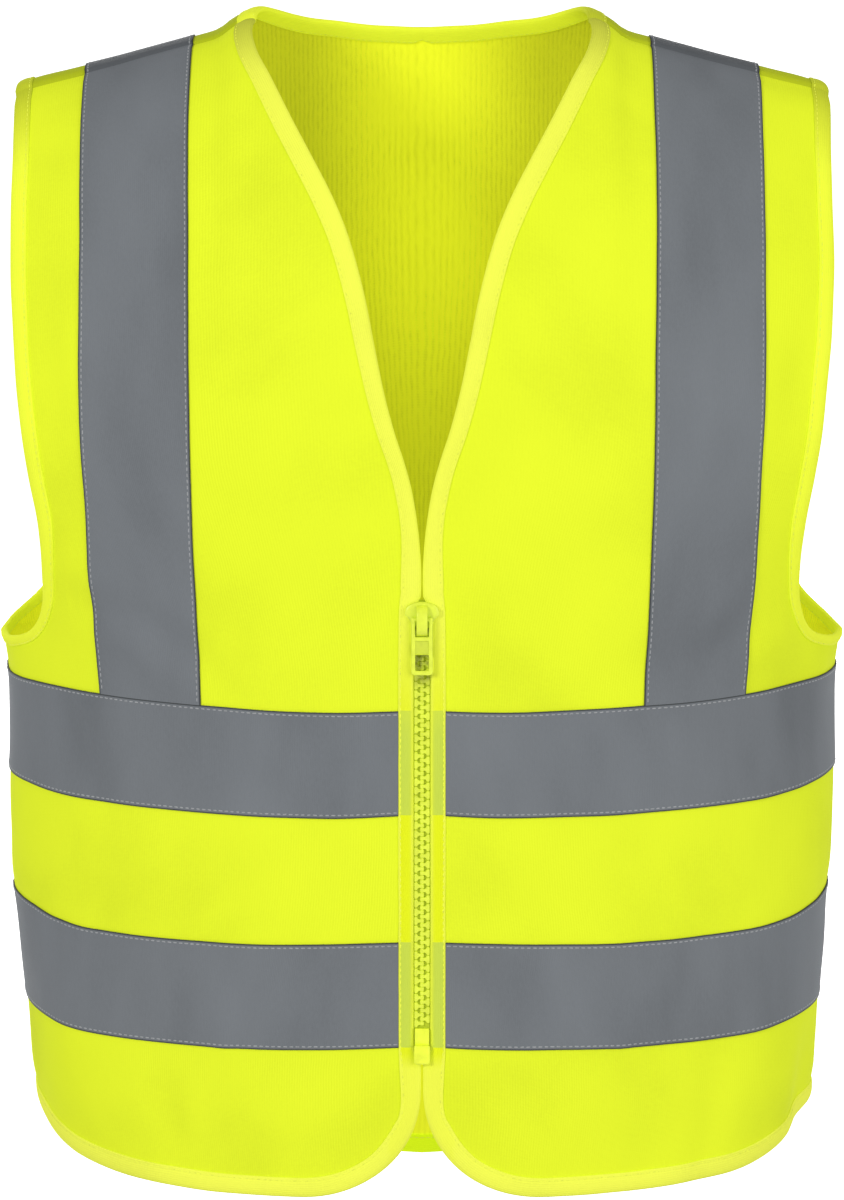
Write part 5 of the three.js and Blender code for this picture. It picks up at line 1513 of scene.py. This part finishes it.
class VEST_OT_zip_chain(Operator):
    """Makes the woven zip tapes and the two rows of interlocked moulded teeth."""

    bl_idname = "vest.zip_chain"
    bl_label = "Zip Chain"

    def execute(self, context):
        for side, mirror in SIDES:
            sign = -1 if mirror else 1
            columns = [sign * x for x in (2.2, 5.2, 8.2, 11.2, 14.2, 17)]
            grid = zip_grid(columns, ZIP_TOP, ZIP_BOTTOM, 60)
            made = shell(f"woven_zip_tape_{side}", [grid], -3.4, -2.6, [finish_of("zip_tape")])
            dress(made, "vest", [f"zip_tape_{side}"])
        form, faces = tooth()
        pitch = settings().tooth_pitch / MM
        core = zip_grid([-3.7, -1.8, 0, 1.8, 3.7], CHAIN_TOP - 0.4, -500, 60)
        backing = shell("zip_chain_cord", [core], -1.6, 0.05, [finish_of("zip_cord")])
        dress(backing, "vest", [])
        vertices, rings = [], []
        rng = np.random.default_rng(3)
        for sign, shift in ((1, 0.25), (-1, 0.75)):
            middles = np.arange(CHAIN_TOP - 1.2 - shift * pitch, FILM_TOP + 1.6, -pitch)
            line = Grid.of(place_at_height(np.zeros(len(middles)), middles, False), False)
            for at in line.at:
                turn = rng.normal(0, 0.012)
                copy = form * [sign, 1, 1] / MM
                copy = np.stack([copy[:, 0], copy[:, 1], copy[:, 2] + copy[:, 0] * turn], 1)
                first = len(vertices) * len(form)
                rings += [[v + first for v in face[::sign]] for face in faces]
                vertices.append(copy + [0, at[1], at[2]])
        at = np.concatenate(vertices)
        # painted shadow of the tab on the teeth under it
        tab_shadow = np.interp(at[:, 2], [-324, -317, -304, -300], [0, 0.75, 0.75, 0.2])
        made = make_object("zip_teeth", at * MM, rings, [finish_of("plastic")],
                           layers={"painted_shade": tab_shadow})
        smooth(made, 35)
        dress(made, "vest", ["zip_chain"])
        outline = rounded_outline(3.5, FILM_TOP + 1, BOX_TOP - 0.2, 0.5, 4)
        film = add_face("zip_end_film", outline, -0.6, BOX_LINE)
        thicken(film, 2.0)
        finish_hard(film, 0.2, 2)
        film.data.materials.append(finish_of("box_plastic"))
        dress(film, "vest", [])
        return {"FINISHED"}


def behind_window(at):
    """1 on the slider's face where the tab's upper window shows it: painted shade there."""
    inside = abs(at.x) < 4 and -297.5 < at.z < -287.5 and ZIP_LINE - at.y < 3.9
    return 1.0 if inside else 0.0


def in_recess(at):
    """Painted shade, faint, on the floor of the tab's recess."""
    inside = abs(at.x) < 3.2 and -305.2 < at.z < -298.6 and at.y > ZIP_LINE - PIVOT_OUT - 0.4
    return 0.3 if inside else 0.0


class VEST_OT_zip_slider(Operator):
    """Makes the slider: two plates, the post between them and the bail that holds the tab."""

    bl_idname = "vest.zip_slider"
    bl_label = "Zip Slider"

    def execute(self, context):
        parts = []
        face = add_face("zip_slider_body", slider_outline(1.0), 1.8)
        thicken(face, 1.6)
        pick_faces(face, lambda middle, normal: normal.y < -0.9)
        bpy.ops.mesh.inset(thickness=0.9 * MM, depth=0.0)
        bpy.ops.transform.translate(value=(0, -0.4 * MM, 0))
        bpy.ops.transform.resize(value=(0.94, 1, 0.96))
        finish_hard(face, 0.28, 2, 20)
        parts.append(face)
        rear = add_face("rear_plate", slider_outline(0.82), -5.6)
        thicken(rear, 1.6)
        finish_hard(rear, 0.3, 2)
        parts.append(rear)
        post = add_face("post", rounded_outline(1.7, -281.4, -285.2, 0.8), -5.2)
        thicken(post, 8.4)
        finish_hard(post, 0.15, 1)
        parts.append(post)
        # the bail: a strip drawn up over the face and given its thickness
        line = [(-296.2, 3.3), (-295.7, 5.1), (-294.4, 6.6), (-292.2, 7.35), (-289.6, 7.5),
                (-286.8, 7.5), (-284.6, 7.1), (-283.0, 6.0), (-282.2, 4.4), (-282.0, 3.3)]
        bpy.ops.object.select_all(action="DESELECT")
        bpy.ops.mesh.primitive_plane_add(size=1)
        bail = bpy.context.object
        (z0, out0), (z1, out1) = line[0], line[1]
        corners = [(-2.65, out0, z0), (2.65, out0, z0), (-2.65, out1, z1), (2.65, out1, z1)]
        for vertex, (x, out, z) in zip(bail.data.vertices, corners):
            vertex.co = (x * MM, (ZIP_LINE - out) * MM, z * MM)
        edit(bail)
        bpy.ops.mesh.select_mode(type="EDGE")
        bpy.ops.mesh.select_all(action="DESELECT")
        mesh = bmesh.from_edit_mesh(bail.data)
        mesh.verts.ensure_lookup_table()
        for edge in mesh.edges:
            edge.select_set(all(abs(v.co.z / MM - z1) < 0.01 for v in edge.verts))
        bmesh.update_edit_mesh(bail.data)
        for (za, outa), (zb, outb) in zip(line[1:], line[2:]):
            bpy.ops.mesh.extrude_region_move(
                TRANSFORM_OT_translate={"value": (0, (outa - outb) * MM, (zb - za) * MM)})
        bpy.ops.object.mode_set(mode="OBJECT")
        wall = bail.modifiers.new("Wall", "SOLIDIFY")
        wall.thickness, wall.offset = 1.15 * MM, 0
        bpy.ops.object.modifier_apply(modifier=wall.name)
        finish_hard(bail, 0.32, 2)
        parts.append(bail)
        select_only(face)
        for part in parts:
            part.select_set(True)
        bpy.ops.object.join()
        face.data.materials.clear()
        face.data.materials.append(finish_of("plastic"))
        # painted shade on the slider's face behind the tab's upper window
        worn = face.data.attributes.new("painted_shade", "FLOAT", "POINT")
        worn.data.foreach_set("value", [behind_window(v.co / MM) for v in face.data.vertices])
        dress(face, "vest", ["zip_slider"])
        return {"FINISHED"}


class VEST_OT_zip_pull_tab(Operator):
    """Makes the pull tab: a plate with two windows and a recess, hung by its top bar."""

    bl_idname = "vest.zip_pull_tab"
    bl_label = "Zip Pull Tab"

    def execute(self, context):
        xs = (-5.1, -3.3, 3.3, 5.1)
        zs = (-315.2, -313.1, -305.3, -298.5, -296.7, -289.0, -287.4)
        bpy.ops.object.select_all(action="DESELECT")
        bpy.ops.mesh.primitive_grid_add(x_subdivisions=3, y_subdivisions=6, size=1)
        tab = bpy.context.object
        tab.name = tab.data.name = "zip_pull_tab_plate"
        back = ZIP_LINE - PIVOT_OUT + 0.8
        for vertex in tab.data.vertices:
            column, row = round((vertex.co.x + 0.5) * 3), round((vertex.co.y + 0.5) * 6)
            vertex.co = (xs[column] * MM, back * MM, zs[row] * MM)
        edit(tab)
        window = lambda middle: abs(middle.x) < 1 and (
            -313 < middle.z < -305.4 or -296.6 < middle.z < -289.1)
        pick_faces(tab, lambda middle, normal: window(middle))
        bpy.ops.mesh.delete(type="FACE")
        bpy.ops.mesh.select_mode(type="VERT")
        mesh = bmesh.from_edit_mesh(tab.data)
        for vertex in mesh.verts:
            vertex.select_set(abs(abs(vertex.co.x / MM) - 5.1) < 0.01 and vertex.co.z / MM < -315)
        bmesh.update_edit_mesh(tab.data)
        bpy.ops.mesh.bevel(offset=1.5 * MM, offset_type="OFFSET", segments=4, affect="VERTICES")
        bpy.ops.mesh.select_mode(type="FACE")
        bpy.ops.object.mode_set(mode="OBJECT")
        thicken(tab, 1.6)
        pick_faces(tab, lambda middle, normal: abs(middle.x) < 1 and normal.y < -0.9
                   and -305 < middle.z < -298.6)
        bpy.ops.mesh.inset(thickness=0.25 * MM, depth=0.0)
        bpy.ops.transform.translate(value=(0, 0.8 * MM, 0))
        finish_hard(tab, 0.3, 2)
        # painted shade on the floor of the tab's recess
        worn = tab.data.attributes.new("painted_shade", "FLOAT", "POINT")
        worn.data.foreach_set("value", [in_recess(v.co / MM) for v in tab.data.vertices])
        tab.data.materials.append(finish_of("plastic"))
        dress(tab, "pull_tab", ["zip_pull_tab"])
        return {"FINISHED"}


class VEST_OT_zip_box(Operator):
    """Makes the retainer box that closes the bottom of the zip."""

    bl_idname = "vest.zip_box"
    bl_label = "Zip Retainer Box"

    def execute(self, context):
        outline = rounded_outline(3.9, BOX_TOP, BOX_BOTTOM, 1.0, 4)
        box = add_face("zip_retainer_box", outline, 1.2, BOX_LINE)
        thicken(box, 1.6)
        pick_faces(box, lambda middle, normal: normal.y < -0.9)
        bpy.ops.mesh.inset(thickness=0.8 * MM, depth=0.0)
        bpy.ops.transform.translate(value=(0, -0.4 * MM, 0))
        finish_hard(box, 0.25, 2, 20)
        box.data.materials.append(finish_of("box_plastic"))
        dress(box, "vest", ["zip_box"])
        return {"FINISHED"}


# ---------------------------------------------------------------- cuts and stage

# width and length of each panel's flat cut, and its flat area, in metres
CUTS = {
    "front_panel_left": (0.30, 0.62, 0.122),
    "front_panel_right": (0.30, 0.62, 0.122),
    "back_panel": (0.56, 0.70, 0.283),
}


class VEST_OT_declare_cloth(Operator):
    """Lists each panel's flat cut and the pieces sewn to it, but keeps neither."""

    bl_idname = "vest.declare_cloth"
    bl_label = "Cloth Cuts"

    def execute(self, context):
        for name, (width, length, area) in CUTS.items():
            side = name.rsplit("_", 1)[-1]
            if name == "back_panel":
                sewn = [n for n, *_ in tape_parts() + binding_parts() if "back" in n]
                sewn += ["stitching_of_tapes", "stitching_of_bindings"]
            else:
                sewn = [n for n, *_ in tape_parts() + binding_parts()
                        if "front" in n and n.endswith(side)]
                sewn.append(f"woven_zip_tape_{side}")
        return {"FINISHED"}


class VEST_OT_stage(Operator):
    """Adds the pale floor, the soft studio light and the camera."""

    bl_idname = "vest.stage"
    bl_label = "Floor, Light and Camera"

    def execute(self, context):
        s = settings()
        bpy.ops.object.select_all(action="DESELECT")
        bpy.ops.mesh.primitive_plane_add(size=160, location=(0, 0, s.floor_height))
        floor = bpy.context.object
        floor.name = floor.data.name = "studio_floor"
        material, _, shader = new_material("Pale floor", 0.9, 0.1)
        shader.inputs["Base Color"].default_value = (0.93, 0.93, 0.93, 1)
        shader.inputs["Emission Color"].default_value = (1, 1, 1, 1)
        shader.inputs["Emission Strength"].default_value = s.floor_glow
        floor.data.materials.append(material)
        floor.visible_diffuse = False

        world = bpy.data.worlds.new("Studio")
        bpy.context.scene.world = world
        world.use_nodes = True
        background = world.node_tree.nodes["Background"]
        background.inputs["Color"].default_value = (1, 1, 1, 1)
        background.inputs["Strength"].default_value = s.fill_light
        for name, at, size, power in (
            ("front_left_light", (-2.0, -2.8, 0.8), 0.9, s.key_light),
            ("front_right_light", (2.3, -2.6, 0.2), 2.6, s.key_light * 0.95),
            ("back_light", (-0.4, 3.4, 0.1), 2.6, s.key_light * 1.2),
        ):
            light = bpy.data.lights.new(name, "AREA")
            light.shape, light.size, light.energy = "DISK", size, power
            holder = bpy.data.objects.new(name, light)
            bpy.context.scene.collection.objects.link(holder)
            holder.location = at
            aim = Vector((0, 0, -0.3)) - Vector(at)
            holder.rotation_euler = aim.to_track_quat("-Z", "Y").to_euler()

        camera = bpy.data.cameras.new("camera")
        camera.lens, camera.sensor_width, camera.sensor_fit = s.lens, 36, "AUTO"
        camera.clip_start, camera.clip_end = 0.05, 400
        holder = bpy.data.objects.new("camera", camera)
        bpy.context.scene.collection.objects.link(holder)
        target = Vector((0, 0, -0.2985))
        way = Vector((0, -math.cos(s.pitch), math.sin(s.pitch)))
        holder.location = target + way * s.distance
        holder.rotation_euler = (-way).to_track_quat("-Z", "Y").to_euler()
        bpy.context.scene.camera = holder
        bpy.context.scene.view_settings.view_transform = "Standard"
        bpy.context.scene.view_settings.look = "None"
        return {"FINISHED"}


def colour_property(name, description, value):
    return FloatVectorProperty(name=name, description=description, subtype="COLOR", size=3,
                               min=0, max=1, default=value)


class VestSettings(PropertyGroup):
    """What a user would change on the vest."""

    knit_colour: colour_property("Knit", "Outer face of the knit", (0.78, 0.905, 0.025))
    knit_back_colour: colour_property("Knit back", "Inner face of the knit", (0.92, 0.97, 0.03))
    binding_colour: colour_property("Binding", "Folded edge binding", (0.88, 0.94, 0.085))
    soft_binding_colour: colour_property("Soft binding", "Neck, armhole and hem bindings",
                                         (0.84, 0.94, 0.045))
    hem_binding_colour: colour_property("Hem binding", "Binding of the back's hem",
                                        (0.66, 0.86, 0.012))
    strip_colour: colour_property("Zip strip", "Binding beside the zip", (0.79, 0.88, 0.014))
    strip_over_band_colour: colour_property("Zip strip over a band", "Binding with a band under it",
                                            (0.585, 0.71, 0.075))
    tape_colour: colour_property("Tape", "Reflective tape", (0.177, 0.191, 0.206))
    # the painted shade along the tape's long edges
    tape_edge_shade_colour: colour_property("Tape edge", "Cut edge of the tape", (0.055, 0.06, 0.062))
    zip_tape_colour: colour_property("Zip tape", "Woven zip tape", (0.72, 0.78, 0.05))
    zip_cord_colour: colour_property("Zip cord", "Cord between the teeth", (0.46, 0.54, 0.03))
    box_colour: colour_property("Zip box", "Retainer box and end film", (0.84, 0.94, 0.04))
    plastic_colour: colour_property("Zip plastic", "Teeth, slider and tab", (0.74, 0.85, 0.05))
    grey_thread_colour: colour_property("Grey thread", "Thread on the tapes", (0.34, 0.35, 0.36))
    lime_thread_colour: colour_property("Lime thread", "Thread on the bindings", (0.85, 0.92, 0.07))
    # painted light: every lime part glows a little, standing in for the fluorescent dye's
    # brightness
    glow: FloatProperty(name="Fluorescence", description="Light the dye gives back", default=0.06,
                        min=0, max=1)
    stitch_pitch: FloatProperty(name="Stitch pitch", description="From stitch to stitch",
                                default=0.003, unit="LENGTH")
    tooth_pitch: FloatProperty(name="Tooth pitch", description="From tooth to tooth on one side",
                               default=0.0043, unit="LENGTH")
    floor_height: FloatProperty(name="Floor", description="Height of the floor", default=-0.8,
                                unit="LENGTH")
    floor_glow: FloatProperty(name="Floor glow", description="How far the floor is lit through",
                              default=0.9, min=0)
    fill_light: FloatProperty(name="Fill", description="Light from all round", default=0.52, min=0)
    key_light: FloatProperty(name="Key", description="Power of the front light", default=43, min=0,
                             subtype="POWER")
    distance: FloatProperty(name="Distance", description="Camera to the vest's middle", default=2.4,
                            unit="LENGTH")
    pitch: FloatProperty(name="Pitch", description="How far the camera looks down",
                         default=math.radians(8.5), unit="ROTATION")
    lens: FloatProperty(name="Lens", description="Focal length", default=141.72, unit="CAMERA")


STEPS = (
    VEST_OT_front_panels, VEST_OT_back_panel, VEST_OT_bindings, VEST_OT_tapes, VEST_OT_stitching,
    VEST_OT_zip_chain, VEST_OT_zip_slider, VEST_OT_zip_pull_tab, VEST_OT_zip_box,
    VEST_OT_declare_cloth, VEST_OT_stage,
)


class VEST_PT_sidebar(Panel):
    """Lists the vest's pieces and their settings."""

    bl_idname = "VEST_PT_sidebar"
    bl_label = "Safety Vest"
    bl_space_type = "VIEW_3D"
    bl_region_type = "UI"
    bl_category = "Safety Vest"

    def draw(self, context):
        for step in STEPS:
            self.layout.operator(step.bl_idname)
        for key in VestSettings.__annotations__:
            self.layout.prop(context.scene.vest, key)


def register():
    for each in (VestSettings, *STEPS, VEST_PT_sidebar):
        bpy.utils.register_class(each)
    bpy.types.Scene.vest = PointerProperty(type=VestSettings)


def unregister():
    del bpy.types.Scene.vest
    for each in reversed((VestSettings, *STEPS, VEST_PT_sidebar)):
        bpy.utils.unregister_class(each)


def main():
    register()
    for step in STEPS:
        group_name, call = step.bl_idname.split(".")
        getattr(getattr(bpy.ops, group_name), call)()
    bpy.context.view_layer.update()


if __name__ == "__main__":
    main()
